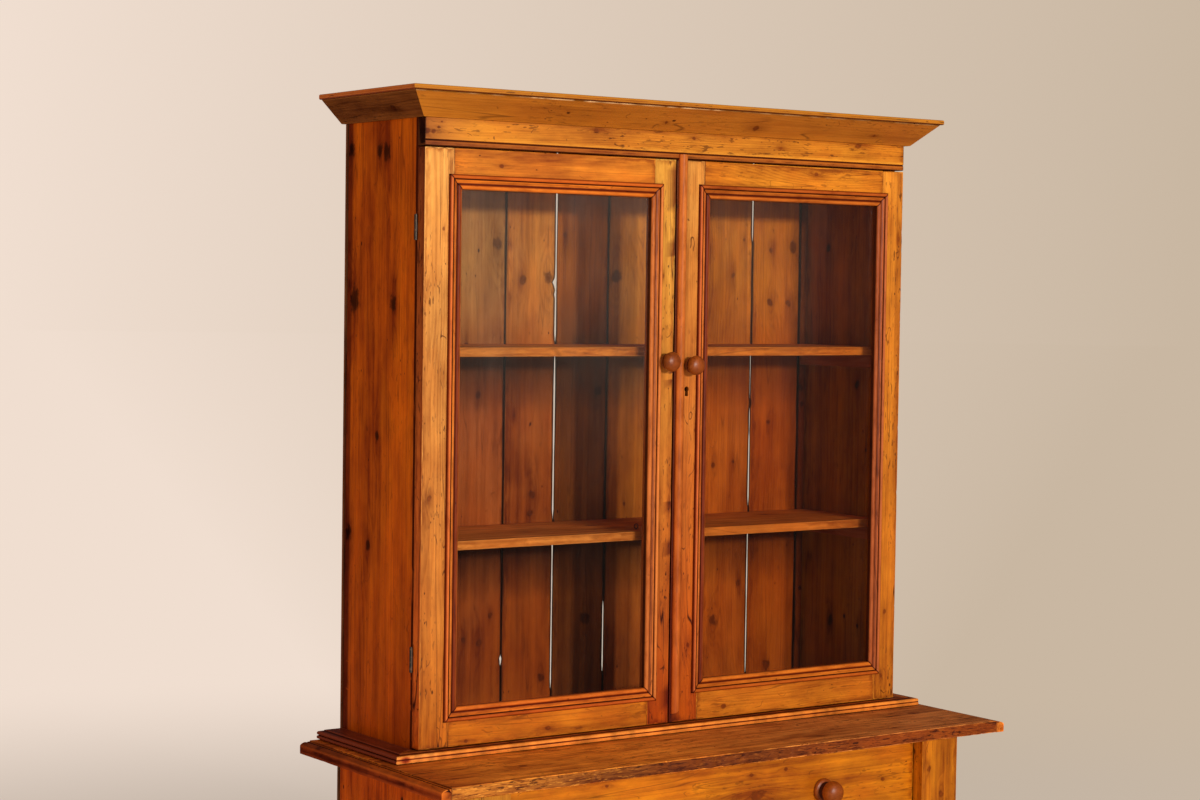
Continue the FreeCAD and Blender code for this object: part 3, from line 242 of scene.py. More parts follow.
class Grain:
    """What a board tells its material: where its grain runs, its size, its tint and its knots."""

    def __init__(self, lo, hi, grain, tint, seed, knots=(), edges=True, wide=None, random_knots=0, knot_size=(5, 11)):
        i = "xyz".index(grain)
        rest = [a for a in range(3) if a != i]
        dims = [hi[a] - lo[a] for a in range(3)]
        if wide is None:
            rest.sort(key=lambda a: -dims[a])
        else:
            rest.sort(key=lambda a: 0 if a == "xyz".index(wide) else 1)
        self.ax = (i, rest[0], rest[1])
        self.mid = [(hi[a] + lo[a]) / 2 for a in range(3)]
        self.dims = dims
        rng = random.Random(seed * 7919 + 17)
        self.rnd = (rng.random(), rng.random(), rng.random())
        self.off = rng.uniform(0, 9000)
        vary = 1.0 + rng.uniform(-0.045, 0.045)
        warm = rng.uniform(-0.03, 0.03)
        self.tint = (tint[0] * vary * (1 + warm), tint[1] * vary, tint[2] * vary * (1 - 2 * warm))
        self.edges = edges
        ks = []
        for k in knots:
            p = k[:3]
            ks.append(((p[i] - self.mid[i]) * MM, (p[rest[0]] - self.mid[rest[0]]) * MM, k[3] * MM))
        for _ in range(random_knots):
            s = rng.uniform(-0.46, 0.46) * dims[i]
            a = rng.uniform(-0.4, 0.4) * dims[rest[0]]
            ks.append((s * MM, a * MM, rng.uniform(*knot_size) * MM))
        ks = ks[:KNOTS]
        while len(ks) < KNOTS:
            ks.append((90.0, 90.0, 0.001))
        self.knots = ks

    def point(self, p):
        i, j, k = self.ax
        s, a, b = p[i] - self.mid[i], p[j] - self.mid[j], p[k] - self.mid[k]
        return ((s + self.off) * MM, a * MM, b * MM), (s * MM, a * MM, b * MM)

    def constants(self):
        i, j, k = self.ax
        size = (self.dims[i] * MM, self.dims[j] * MM, self.dims[k] * MM) if self.edges else (9.0, 9.0, 9.0)
        return [size, self.rnd, self.tint] + list(self.knots)


class Piece:
    def __init__(self, name):
        self.name = name
        self.co, self.faces, self.cav, self.parts = [], [], [], []
        self.mul = {}
        self.after = None

    def rings(self, rings, grain, cav=None, caps=(True, True), around=True, mul=None):
        base = len(self.co)
        n = len(rings[0])
        for r, ring in enumerate(rings):
            self.co.extend(ring)
            self.cav.extend(cav if cav else [0.0] * n)
        if mul:
            for q, value in enumerate(mul):
                self.mul[base + q] = value
        for r in range(len(rings) - 1):
            for k in range(n if around else n - 1):
                a = base + r * n + k
                b = base + r * n + (k + 1) % n
                self.faces.append((a, b, b + n, a + n))
        if caps[0]:
            self.faces.append(tuple(base + k for k in reversed(range(n))))
        if caps[1]:
            last = base + (len(rings) - 1) * n
            self.faces.append(tuple(last + k for k in range(n)))
        self.parts.append((base, len(self.co), grain))

    def write(self, mesh, only=None):
        """Attributes of the points; only= one grain for every point, after a boolean."""
        n = len(mesh.vertices)
        data = {v: [0.0] * (3 * n) for v in VECTORS}
        if only is None:
            parts = self.parts
            where = self.co
        else:
            parts = [(0, n, only)]
            where = [tuple(c / MM for c in v.co) for v in mesh.vertices]
        for lo, hi, grain in parts:
            const = grain.constants()
            for q in range(lo, hi):
                g, bl = grain.point(where[q])
                data["gco"][3 * q:3 * q + 3] = g
                data["bloc"][3 * q:3 * q + 3] = bl
            for name, value in zip(VECTORS[2:], const):
                data[name][3 * lo:3 * hi] = list(value) * (hi - lo)
        if only is None:
            for q, value in self.mul.items():
                for c in range(3):
                    data["btint"][3 * q + c] *= value[c]
        elif self.after:
            for q in range(n):
                value = self.after(where[q], None)
                for c in range(3):
                    data["btint"][3 * q + c] *= value[c]
        for name in VECTORS:
            at = mesh.attributes.get(name) or mesh.attributes.new(name, "FLOAT_VECTOR", "POINT")
            at.data.foreach_set("vector", data[name])
        at = mesh.attributes.get("cav") or mesh.attributes.new("cav", "FLOAT", "POINT")
        at.data.foreach_set("value", self.cav if only is None else [0.0] * n)

    def finish(self, body, material, nodes, smooth=38.0, cutters=()):
        mesh = bpy.data.meshes.new(self.name)
        mesh.from_pydata([tuple(c * MM for c in p) for p in self.co], [], self.faces)
        bm = bmesh.new()
        bm.from_mesh(mesh)
        bmesh.ops.recalc_face_normals(bm, faces=bm.faces)
        bm.to_mesh(mesh)
        bm.free()
        obj = bpy.data.objects.new(self.name, mesh)
        bpy.context.scene.collection.objects.link(obj)
        if cutters:
            tools = []
            for points, faces in cutters:
                cm = bpy.data.meshes.new("cutter")
                cm.from_pydata([tuple(c * MM for c in p) for p in points], [], faces)
                bm = bmesh.new()
                bm.from_mesh(cm)
                bmesh.ops.recalc_face_normals(bm, faces=bm.faces)
                bm.to_mesh(cm)
                bm.free()
                co = bpy.data.objects.new("cutter", cm)
                bpy.context.scene.collection.objects.link(co)
                mod = obj.modifiers.new("cut", "BOOLEAN")
                mod.operation = "DIFFERENCE"
                mod.solver = "EXACT"
                mod.object = co
                tools.append((co, cm))
            done = bpy.data.meshes.new_from_object(obj.evaluated_get(bpy.context.evaluated_depsgraph_get()))
            obj.modifiers.clear()
            obj.data = done
            done.name = self.name
            bpy.data.meshes.remove(mesh)
            mesh = done
            for co, cm in tools:
                bpy.data.objects.remove(co)
                bpy.data.meshes.remove(cm)
            self.write(mesh, only=self.parts[0][2])
        else:
            self.write(mesh)
        mesh.materials.clear()
        mesh.materials.append(material)
        mesh.shade_smooth()
        mesh.set_sharp_from_angle(angle=math.radians(smooth))
        mod = obj.modifiers.new("normals", "WEIGHTED_NORMAL")
        mod.keep_sharp = True
        mod.weight = 60
        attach(obj, body)
        if nodes:
            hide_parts(*nodes)
        return obj


def board(piece, lo, hi, grain, tint, seed, r=1.1, wear=1.0, knots=(), step=22.0, mid=0, drop=None, extra=(),
          end=None, wide=None, hollow=0.0, random_knots=0, knot_size=(5, 11), mul=None, jag=None, strips=()):
    """A board with rounded, slightly nicked edges, built along its grain. jag(s, nj, nk) sets a point back, in mm."""
    g = Grain(lo, hi, grain, tint, seed, knots, True, wide, random_knots, knot_size)
    i, j, k = g.ax
    length, w, t = g.dims[i], g.dims[j], g.dims[k]
    rng = random.Random(seed * 104729 + 5)
    limit = min(w, t) * 0.42
    r = min(r, limit)
    er = min(r if end is None else end, length * 0.2)
    nicks = []
    for e in range(4):
        for _ in range(int(length / 240.0 * wear * rng.uniform(0.3, 1.7) + 0.35)):
            nicks.append((e, rng.uniform(0.02, 0.98) * length, rng.uniform(2.5, 11), rng.uniform(0.5, 1.9) * min(wear, 1.6)))
    stations = {}
    count = max(2, int((length - 2 * er) / step))
    for m in range(count + 1):
        stations[er + (length - 2 * er) * m / count] = 0.0
    for e, pos, half, deep in nicks:
        for f in (-1, -0.5, 0, 0.5, 1):
            s = pos + f * half
            if er < s < length - er:
                stations[s] = 0.0
    for s in extra:
        stations[s - lo[i]] = 0.0
    for phi in (0.0, 0.45, 0.95):
        inset, s = er * (1 - math.sin(phi)), er * (1 - math.cos(phi))
        stations[s] = inset
        stations[length - s] = inset
    order = sorted(stations)
    kept = [order[0]]
    for s in order[1:]:
        if s - kept[-1] > 0.02:
            kept.append(s)
    rings = []
    mults = []
    for s in kept:
        inset = stations[s]
        lower = drop(s + lo[i]) if drop else 0.0
        top = t / 2 - lower
        pts = []
        nrm = []
        for e, (sj, sk) in enumerate(((1, 1), (-1, 1), (-1, -1), (1, -1))):
            rr = r * (1 + 0.4 * wob(s / 47.0, seed * 7 + e))
            for ne, pos, half, deep in nicks:
                if ne == e:
                    rr += deep * math.exp(-((s - pos) / half * 1.6) ** 2)
            rr = max(min(rr, limit) - inset, 0.04)
            hw = w / 2 - inset
            hk = (top if sk > 0 else t / 2) - inset
            cj, ck = sj * (hw - rr), sk * (hk - rr)
            start = {(1, 1): 0, (-1, 1): 90, (-1, -1): 180, (1, -1): 270}[(sj, sk)]
            for m in range(4):
                a = math.radians(start + 30 * m)
                pts.append((cj + rr * math.cos(a), ck + rr * math.sin(a)))
                nrm.append((math.cos(a), math.sin(a)))
            if (mid or strips) and e in (0, 2):
                x0 = hw - rr
                fs = {(m + 1) / (mid + 1) for m in range(mid)}
                for d in strips:
                    fs |= {d / (2 * x0), 1 - d / (2 * x0)}
                for f in sorted(fs):
                    pj = (x0 * (1 - f) - x0 * f) * (1 if e == 0 else -1)
                    dip = hollow * (0.5 + 0.5 * wob(s / 170.0 + pj / 90.0, seed * 3 + e)) * math.sin(math.pi * f)
                    pts.append((pj, sk * (hk - dip)))
                    nrm.append((0.0, sk))
        ring = []
        for (pj, pk), (nj, nk) in zip(pts, nrm):
            p = [0.0, 0.0, 0.0]
            p[i] = lo[i] + s
            if jag and inset < 0.01:
                back = jag(s, nj, nk)
                pj, pk = pj - nj * back, pk - nk * back
            p[j] = g.mid[j] + pj
            p[k] = g.mid[k] + pk
            ring.append(tuple(p))
            if mul:
                d = [0.0, 0.0, 0.0]
                d[j], d[k] = nj, nk
                mults.append(mul(p, d))
        rings.append(ring)
    piece.rings(rings, g, mul=mults)
    return g


def sweep(piece, profile, place, length, tint, seed, grain, lo, hi, wear=0.35, chips=0.5, step=24.0, knots=(), reach=3.0,
          random_knots=0, keep=(), cav_scale=1.0, mul=None, edges=False, shade=None):
    """A moulding: a closed outline carried along, with slightly rubbed crests. place(u, v, t) gives the point."""
    profile = refined(profile)
    rel = relief(profile, reach)
    cav = [max(-1.0, min(1.0, c * cav_scale)) for _, c in rel]
    rng = random.Random(seed * 31337 + 3)
    count = max(2, int(length / step))
    ts = {m / count for m in range(count + 1)}
    dents = []
    for _ in range(int(length / 330.0 * chips * rng.uniform(0.6, 1.5))):
        pos, half = rng.uniform(0.01, 0.99) * length, rng.uniform(3, 12)
        near = rng.randrange(len(profile))
        dents.append((pos, half, near, rng.uniform(0.5, 1.5)))
        for f in (-1, -0.5, 0, 0.5, 1):
            t = (pos + f * half) / length
            if 0.002 < t < 0.998:
                ts.add(t)
    for t in keep:
        ts.add(t)
    order = sorted(ts)
    kept = [order[0]]
    for t in order[1:]:
        if (t - kept[-1]) * length > 0.3:
            kept.append(t)
    kept[-1] = 1.0
    rings = []
    for t in kept:
        s = t * length
        ring = []
        for q, (u, v) in enumerate(profile):
            (nx, ny), c = rel[q]
            crest = max(0.0, min(1.0, c))
            d = crest * wear * (0.35 + 0.35 * wob(s / 31.0, seed * 5 + 1) + 0.3 * wob(s / 9.0, seed * 5 + 2))
            for pos, half, near, deep in dents:
                if abs(s - pos) < half * 1.3 and c > 0.05:
                    pu, pv = profile[near]
                    away = math.hypot(u - pu, v - pv)
                    d += deep * math.exp(-((s - pos) / half * 1.6) ** 2 - (away / 2.4) ** 2)
            ring.append(place(u - nx * max(d, 0.0), v - ny * max(d, 0.0), t))
        rings.append(ring)
    g = Grain(lo, hi, grain, tint, seed, knots, edges, None, random_knots)
    mults = [mul(q, None) for ring in rings for q in ring] if mul else None
    if shade:
        tones = [shade(u, v) for u, v in profile]
        if mults:
            mults = [[m[c] * tones[q % len(tones)][c] for c in range(3)] for q, m in enumerate(mults)]
        else:
            mults = tones * len(rings)
    piece.rings(rings, g, cav=cav, mul=mults)
    return g


def lathe(piece, profile, x, y, z, tint, seed, n=44, reach=1.6):
    """Turned knob on an axis towards the front. profile is (radius, distance to the front of y)."""
    closed = [(0.001, profile[0][1])] + list(profile)
    rel = relief(closed, reach)[1:]
    cav = [max(-1.0, min(1.0, c * 1.3)) for _, c in rel]
    top = max(p[0] for p in profile)
    g = Grain((x - top, y - profile[-1][1], z - top), (x + top, y - profile[0][1], z + top), "y", tint, seed, (), False)
    base = len(piece.co)
    m = len(profile)
    for a in range(n):
        ang = 2 * math.pi * a / n
        out = 1.0 + 0.006 * math.sin(2 * ang + seed)
        for (r, d) in profile[:-1]:
            piece.co.append((x + r * out * math.cos(ang), y - d, z + r * out * math.sin(ang)))
            piece.cav.append(0.0)
    for a in range(n):
        for q in range(m - 1):
            piece.cav[base + a * (m - 1) + q] = cav[q]
    tip = len(piece.co)
    piece.co.append((x, y - profile[-1][1], z))
    piece.cav.append(0.0)
    for a in range(n):
        b = (a + 1) % n
        for q in range(m - 2):
            piece.faces.append((base + a * (m - 1) + q, base + b * (m - 1) + q, base + b * (m - 1) + q + 1,
                                base + a * (m - 1) + q + 1))
        piece.faces.append((base + a * (m - 1) + m - 2, base + b * (m - 1) + m - 2, tip))
    piece.faces.append(tuple(base + a * (m - 1) for a in range(n)))
    piece.parts.append((base, len(piece.co), g))


# ---------------------------------------------------------------------------------------------------------------------
# Materials
# ---------------------------------------------------------------------------------------------------------------------


class Graph:
    """Short words for building a node tree."""

    def __init__(self, name):
        self.mat = bpy.data.materials.new(name)
        self.mat.use_nodes = True
        self.nt = self.mat.node_tree
        self.nt.nodes.clear()
        self.count = 0

    def new(self, kind, **props):
        n = self.nt.nodes.new(kind)
        n.location = ((self.count // 12) * 200, -(self.count % 12) * 180)
        self.count += 1
        for key, value in props.items():
            setattr(n, key, value)
        return n

    def put(self, socket, value):
        if isinstance(value, bpy.types.NodeSocket):
            self.nt.links.new(value, socket)
        elif isinstance(value, (tuple, list)) and len(value) == 3 and socket.type == "RGBA":
            socket.default_value = (value[0], value[1], value[2], 1.0)
        else:
            socket.default_value = value

    def m(self, op, a, b=None, c=None, clamp=False):
        n = self.new("ShaderNodeMath", operation=op, use_clamp=clamp)
        self.put(n.inputs[0], a)
        if b is not None:
            self.put(n.inputs[1], b)
        if c is not None:
            self.put(n.inputs[2], c)
        return n.outputs[0]

    def vm(self, op, a, b=None, scale=None):
        n = self.new("ShaderNodeVectorMath", operation=op)
        self.put(n.inputs[0], a)
        if b is not None:
            self.put(n.inputs[1], b)
        if scale is not None:
            self.put(n.inputs["Scale"], scale)
        return n.outputs["Value"] if op in ("LENGTH", "DISTANCE", "DOT_PRODUCT") else n.outputs["Vector"]

    def comb(self, x, y, z):
        n = self.new("ShaderNodeCombineXYZ")
        for s, v in zip(n.inputs, (x, y, z)):
            self.put(s, v)
        return n.outputs[0]

    def sep(self, v):
        n = self.new("ShaderNodeSeparateXYZ")
        self.put(n.inputs[0], v)
        return n.outputs

    def attr(self, name, what="Vector"):
        n = self.new("ShaderNodeAttribute", attribute_type="GEOMETRY", attribute_name=name)
        return n.outputs[what]

    def noise(self, vec, scale=1.0, detail=2.0, rough=0.5, distortion=0.0):
        n = self.new("ShaderNodeTexNoise")
        self.put(n.inputs["Vector"], vec)
        self.put(n.inputs["Scale"], scale)
        self.put(n.inputs["Detail"], detail)
        self.put(n.inputs["Roughness"], rough)
        self.put(n.inputs["Distortion"], distortion)
        return n.outputs[0]

    def voronoi(self, vec, scale, out="Distance", feature="F1", rand=1.0):
        n = self.new("ShaderNodeTexVoronoi", feature=feature)
        self.put(n.inputs["Vector"], vec)
        self.put(n.inputs["Scale"], scale)
        self.put(n.inputs["Randomness"], rand)
        return n.outputs[out]

    def step(self, x, lo, hi, a=0.0, b=1.0):
        n = self.new("ShaderNodeMapRange", interpolation_type="SMOOTHSTEP", clamp=True)
        self.put(n.inputs[0], x)
        self.put(n.inputs[1], lo)
        self.put(n.inputs[2], hi)
        self.put(n.inputs[3], a)
        self.put(n.inputs[4], b)
        return n.outputs[0]

    def mix(self, fac, a, b, mode="MIX"):
        n = self.new("ShaderNodeMix", data_type="RGBA", blend_type=mode)
        self.put(n.inputs[0], fac)
        self.put(n.inputs[6], a)
        self.put(n.inputs[7], b)
        return n.outputs[2]

    def out(self, shader):
        n = self.new("ShaderNodeOutputMaterial")
        self.nt.links.new(shader, n.inputs["Surface"])
        return self.mat


def wood(name, rings=0.55, fibre=0.35, streak=0.75, patch=0.5, edge=0.6, dirt=0.8, speck=0.6, rough=(0.42, 0.62),
         bump=0.35, coat=0.15, coat_rough=0.3, specular=0.35, knot_dark=1.0, worn=(1.25, 1.45, 1.9), grey=0.0, red=0.35,
         grime=0.5, line=0.5, fleck=0.6, hollow_tint=(0.18, 0.08, 0.05), mottle=0.7, layer=0.0, seam=0.75, knot_round=0.72, core=(0.30, 0.17, 0.12), flake=0.0):
    """Pine under an old shellac. Everything is read from the board's own attributes."""
    g = Graph(name)
    s, a, b = g.sep(g.attr("gco"))
    ls, la, lb = g.sep(g.attr("bloc"))
    ds, da, db = g.sep(g.attr("bdim"))
    r1, r2, r3 = g.sep(g.attr("brnd"))
    tint = g.attr("btint", "Color")
    shift = g.m("MULTIPLY", r1, 7.0)
    bs = g.m("ADD", b, shift)

    def field(ks, ka, detail=2.0, roughness=0.5, kb=None):
        return g.noise(g.comb(g.m("MULTIPLY", s, ks), g.m("MULTIPLY", a, ka), g.m("MULTIPLY", bs, ka if kb is None else kb)),
                       1.0, detail, roughness)

    # knots
    dark = None
    halo = None
    bend = None
    for k in range(KNOTS):
        ks, ka, kr = g.sep(g.attr("k%d" % (k + 1)))
        u = g.m("SUBTRACT", ls, ks)
        v = g.m("SUBTRACT", la, ka)
        vv = g.m("MULTIPLY", v, v)
        u1 = g.m("MULTIPLY", u, knot_round)
        d = g.m("DIVIDE", g.m("SQRT", g.m("MULTIPLY_ADD", u1, u1, vv)), kr)
        u2 = g.m("MULTIPLY", u, 0.27)
        d2 = g.m("DIVIDE", g.m("MULTIPLY_ADD", u2, u2, vv), g.m("MULTIPLY", kr, kr))
        h = g.m("EXPONENT", g.m("MULTIPLY", d2, -0.38))
        w = g.m("MULTIPLY", h, g.m("MULTIPLY", kr, 1.7))
        dark = d if dark is None else g.m("MINIMUM", dark, d)
        halo = h if halo is None else g.m("MAXIMUM", halo, h)
        bend = w if bend is None else g.m("ADD", bend, w)

    # the year rings, seen on a board sawn at some distance from the pith
    slow = field(1.1, 5.0)
    fine = field(7.0, 45.0)
    a0 = g.m("MULTIPLY", g.m("SUBTRACT", r1, 0.5), 0.20)
    b0 = g.m("MULTIPLY_ADD", r2, 0.11, 0.035)
    pa = g.m("ADD", g.m("SUBTRACT", a, a0), g.m("MULTIPLY", g.m("SUBTRACT", slow, 0.5), 0.12))
    pb = g.m("ADD", g.m("ADD", b, b0), g.m("MULTIPLY", g.m("SUBTRACT", slow, 0.5), 0.06))
    rad = g.m("SQRT", g.m("ADD", g.m("MULTIPLY", pa, pa), g.m("MULTIPLY", pb, pb)))
    rad = g.m("ADD", rad, g.m("MULTIPLY", g.m("SUBTRACT", fine, 0.5), 0.0045))
    rad = g.m("ADD", rad, bend)
    period = g.m("MULTIPLY_ADD", r3, 0.0026, 0.0040)
    q = g.m("DIVIDE", rad, period)
    f = g.m("FRACT", q)
    late = g.m("MULTIPLY", g.step(f, 0.30, 0.84), g.step(f, 0.88, 1.0, 1.0, 0.0))
    swell = g.noise(g.comb(g.m("MULTIPLY", s, 0.6), g.m("MULTIPLY", q, 0.45), g.m("MULTIPLY", r3, 30.0)), 1.0, 1.0)
    late = g.m("MULTIPLY", late, g.step(swell, 0.30, 0.68, 0.15, 1.25))

    # fibres, streaks, patches of the finish
    fib = field(9.0, 420.0, 3.0, 0.6)
    strk = field(1.5, 52.0, 4.0, 0.66)
    strk2 = field(1.1, 120.0, 2.0, 0.5)
    pat = field(2.4, 8.0, 3.0, 0.55)
    pat2 = field(7.0, 17.0, 3.0, 0.6)

    mot = field(13.0, 30.0, 5.0, 0.62)
    lay = field(9.0, 210.0, 3.0, 0.6)

    t = g.m("MULTIPLY_ADD", g.m("SUBTRACT", strk, 0.5), 3.2 * streak, 0.60)
    t = g.m("ADD", t, g.m("MULTIPLY", g.m("SUBTRACT", mot, 0.5), 2.9 * mottle))
    if layer > 0:
        t = g.m("ADD", t, g.m("MULTIPLY", g.m("SUBTRACT", lay, 0.5), 3.4 * layer))
    t = g.m("ADD", t, g.m("MULTIPLY", g.m("SUBTRACT", fib, 0.5), 1.5 * fibre))
    t = g.m("ADD", t, g.m("MULTIPLY", g.m("SUBTRACT", pat, 0.5), 2.3 * patch))
    t = g.m("SUBTRACT", t, g.m("MULTIPLY", late, 0.46 * rings))
    t = g.m("SUBTRACT", t, g.m("MULTIPLY", halo, 0.36 * knot_dark), clamp=True)
    col = g.vm("MULTIPLY", tint, g.mix(t, (0.42, 0.29, 0.18), (1.34, 1.46, 1.66)))
    # redder and yellower fields
    hue = g.step(pat2, 0.36, 0.66)
    col = g.mix(g.m("MULTIPLY", hue, red), col, g.vm("MULTIPLY", col, (0.95, 0.74, 0.52)))
    # single dark lines along the grain
    dl = g.m("MULTIPLY", g.step(strk2, 0.60, 0.70), line)
    col = g.mix(dl, col, g.vm("MULTIPLY", col, (0.60, 0.44, 0.32)))
    if grey > 0:
        gm = g.step(g.m("ADD", pat, g.m("MULTIPLY", g.m("SUBTRACT", fib, 0.5), 0.5)), 0.42, 0.72)
        lum = g.vm("DOT_PRODUCT", col, (0.4, 0.45, 0.15))
        col = g.mix(g.m("MULTIPLY", gm, grey), col, g.comb(g.m("MULTIPLY", lum, 1.0), g.m("MULTIPLY", lum, 0.86),
                                                          g.m("MULTIPLY", lum, 0.70)))

    # inside the knots
    rim = g.noise(g.comb(g.m("MULTIPLY", ls, 70.0), g.m("MULTIPLY", la, 95.0), shift), 1.0, 3.0)
    dk = g.m("ADD", dark, g.m("MULTIPLY", g.m("SUBTRACT", rim, 0.5), 1.7))
    inside = g.step(dk, 0.30, 1.45, 1.0, 0.0)
    crust = g.m("MULTIPLY", g.step(dk, 0.25, 0.75), g.step(dk, 0.75, 1.15, 1.0, 0.0))
    kcol = g.mix(g.step(rim, 0.38, 0.62), core, g.vm("MULTIPLY", core, (1.5, 1.6, 1.7)))
    col = g.mix(g.m("MULTIPLY", inside, 0.92), col, g.vm("MULTIPLY", tint, kcol))
    col = g.mix(g.m("MULTIPLY", crust, 0.35), col, g.vm("MULTIPLY", tint, g.vm("MULTIPLY", core, (0.5, 0.5, 0.5))))

    # specks, worm holes, dashes, scratches and hairline cracks
    cl = field(5.0, 13.0, 2.0, 0.5)
    crowd = g.step(cl, 0.42, 0.66, 0.10, 1.0)

    def specks(scale, share, r0, r1, stretch):
        vor = g.new("ShaderNodeTexVoronoi", feature="F1")
        g.put(vor.inputs["Vector"], g.comb(g.m("MULTIPLY", s, stretch), a, bs))
        g.put(vor.inputs["Scale"], scale)
        vx, vy, vz = g.sep(vor.outputs["Color"])
        size = g.m("MULTIPLY_ADD", vy, (r1 - r0) * scale, r0 * scale)
        here = g.m("LESS_THAN", vx, g.m("MULTIPLY", crowd, share))
        return g.m("MULTIPLY", here, g.step(g.m("DIVIDE", vor.outputs["Distance"], size), 0.55, 1.15, 1.0, 0.0))

    dot = g.m("MAXIMUM", specks(34.0, 0.42 * speck, 0.0010, 0.0032, 0.55), specks(88.0, 0.55 * speck, 0.0007, 0.0017, 0.5))
    fl = field(42.0, 190.0, 2.0, 0.55)
    flecks = g.m("MULTIPLY", g.step(fl, 0.60, 0.66), crowd)
    cr = field(1.3, 30.0, 1.0, 0.5, 8.0)
    crack = g.m("MULTIPLY", g.step(g.m("ABSOLUTE", g.m("SUBTRACT", cr, 0.5)), 0.0, 0.010, 1.0, 0.0), g.step(pat, 0.44, 0.54))
    hair = field(16.0, 34.0, 1.0, 0.5)
    where = field(30.0, 38.0, 1.0, 0.5)
    scratch = g.m("MULTIPLY", g.step(g.m("ABSOLUTE", g.m("SUBTRACT", hair, 0.5)), 0.0, 0.016, 1.0, 0.0), g.step(where, 0.60, 0.66))
    marks = g.m("MAXIMUM", g.m("MULTIPLY", dot, 0.92), g.m("MULTIPLY", crack, 0.7 * speck))
    marks = g.m("MAXIMUM", marks, g.m("MULTIPLY", flecks, 0.70 * fleck))
    marks = g.m("MAXIMUM", marks, g.m("MULTIPLY", scratch, 0.6 * speck))
    col = g.mix(marks, col, g.vm("MULTIPLY", tint, (0.10, 0.045, 0.030)))

    # grime beside the edges and rubbed edges: the second smallest distance to the faces of the board
    ea = g.m("SUBTRACT", g.m("MULTIPLY", ds, 0.5), g.m("ABSOLUTE", ls))
    eb = g.m("SUBTRACT", g.m("MULTIPLY", da, 0.5), g.m("ABSOLUTE", la))
    ec = g.m("SUBTRACT", g.m("MULTIPLY", db, 0.5), g.m("ABSOLUTE", lb))
    near = g.m("MAXIMUM", g.m("MINIMUM", ea, eb), g.m("MINIMUM", g.m("MAXIMUM", ea, eb), ec))
    wearn = field(22.0, 60.0, 3.0, 0.6)
    broad = field(5.0, 9.0, 2.0, 0.5)
    gr = g.step(g.m("MULTIPLY_ADD", g.m("SUBTRACT", wearn, 0.5), 0.040, near), 0.001, 0.014, 1.0, 0.0)
    gr = g.m("MULTIPLY", gr, g.step(broad, 0.38, 0.60, 0.2, 1.0))
    col = g.mix(g.m("MULTIPLY", gr, grime), col, g.vm("MULTIPLY", col, (0.50, 0.34, 0.22)))
    if flake > 0:
        fk1 = field(46.0, 330.0, 3.0, 0.6)
        front = g.step(g.m("ADD", la, g.m("MULTIPLY", da, 0.5)), 0.003, 0.006, 1.0, 0.0)
        col = g.mix(g.m("MULTIPLY", g.m("MULTIPLY", g.step(fk1, 0.57, 0.64), front), flake), col, g.vm("MULTIPLY", tint, worn))
        fk2 = field(26.0, 380.0, 3.0, 0.6)
        col = g.mix(g.m("MULTIPLY", g.m("MULTIPLY", g.step(fk2, 0.55, 0.62), front), flake), col,
                    g.vm("MULTIPLY", tint, (0.25, 0.13, 0.09)))
    endgrain = g.step(ea, 0.0009, 0.0027, 1.0, 0.0)
    col = g.mix(g.m("MULTIPLY", endgrain, seam), col, g.vm("MULTIPLY", col, (0.22, 0.13, 0.09)))
    rub = g.step(g.m("MULTIPLY_ADD", g.m("SUBTRACT", wearn, 0.5), 0.008, near), 0.0004, 0.0024, 1.0, 0.0)
    cav = g.attr("cav", "Fac")
    crest = g.step(g.m("MULTIPLY_ADD", g.m("SUBTRACT", wearn, 0.5), 0.9, cav), 0.10, 0.62)
    rub = g.m("MULTIPLY", g.m("MAXIMUM", g.m("MULTIPLY", rub, g.step(broad, 0.36, 0.56, 0.1, 1.0)), crest), edge)
    col = g.mix(rub, col, g.vm("MULTIPLY", tint, worn))
    hollow = g.step(g.m("SUBTRACT", g.m("MULTIPLY", g.m("SUBTRACT", wearn, 0.5), 0.22), cav), 0.03, 0.38)
    col = g.mix(g.m("MULTIPLY", hollow, dirt), col, g.vm("MULTIPLY", tint, hollow_tint))

    # gloss and relief
    rg = g.m("MULTIPLY_ADD", pat2, rough[1] - rough[0], rough[0])
    rg = g.m("ADD", rg, g.m("MULTIPLY", rub, 0.12))
    rg = g.m("ADD", rg, g.m("MULTIPLY", g.m("SUBTRACT", fib, 0.5), 0.15), clamp=True)
    ht = g.m("MULTIPLY", late, 0.5)
    ht = g.m("MULTIPLY_ADD", fib, 0.8, ht)
    ht = g.m("MULTIPLY_ADD", strk, 0.8, ht)
    ht = g.m("MULTIPLY_ADD", marks, -1.5, ht)
    ht = g.m("MULTIPLY_ADD", inside, -0.6, ht)
    bp = g.new("ShaderNodeBump")
    g.put(bp.inputs["Strength"], bump)
    g.put(bp.inputs["Distance"], 0.0006)
    g.put(bp.inputs["Height"], ht)
    sh = g.new("ShaderNodeBsdfPrincipled")
    g.put(sh.inputs["Base Color"], col)
    g.put(sh.inputs["Roughness"], rg)
    g.put(sh.inputs["Normal"], bp.outputs[0])
    sh.inputs["Specular IOR Level"].default_value = specular
    sh.inputs["Coat Weight"].default_value = coat
    sh.inputs["Coat Roughness"].default_value = coat_rough
    return g.out(sh.outputs[0])


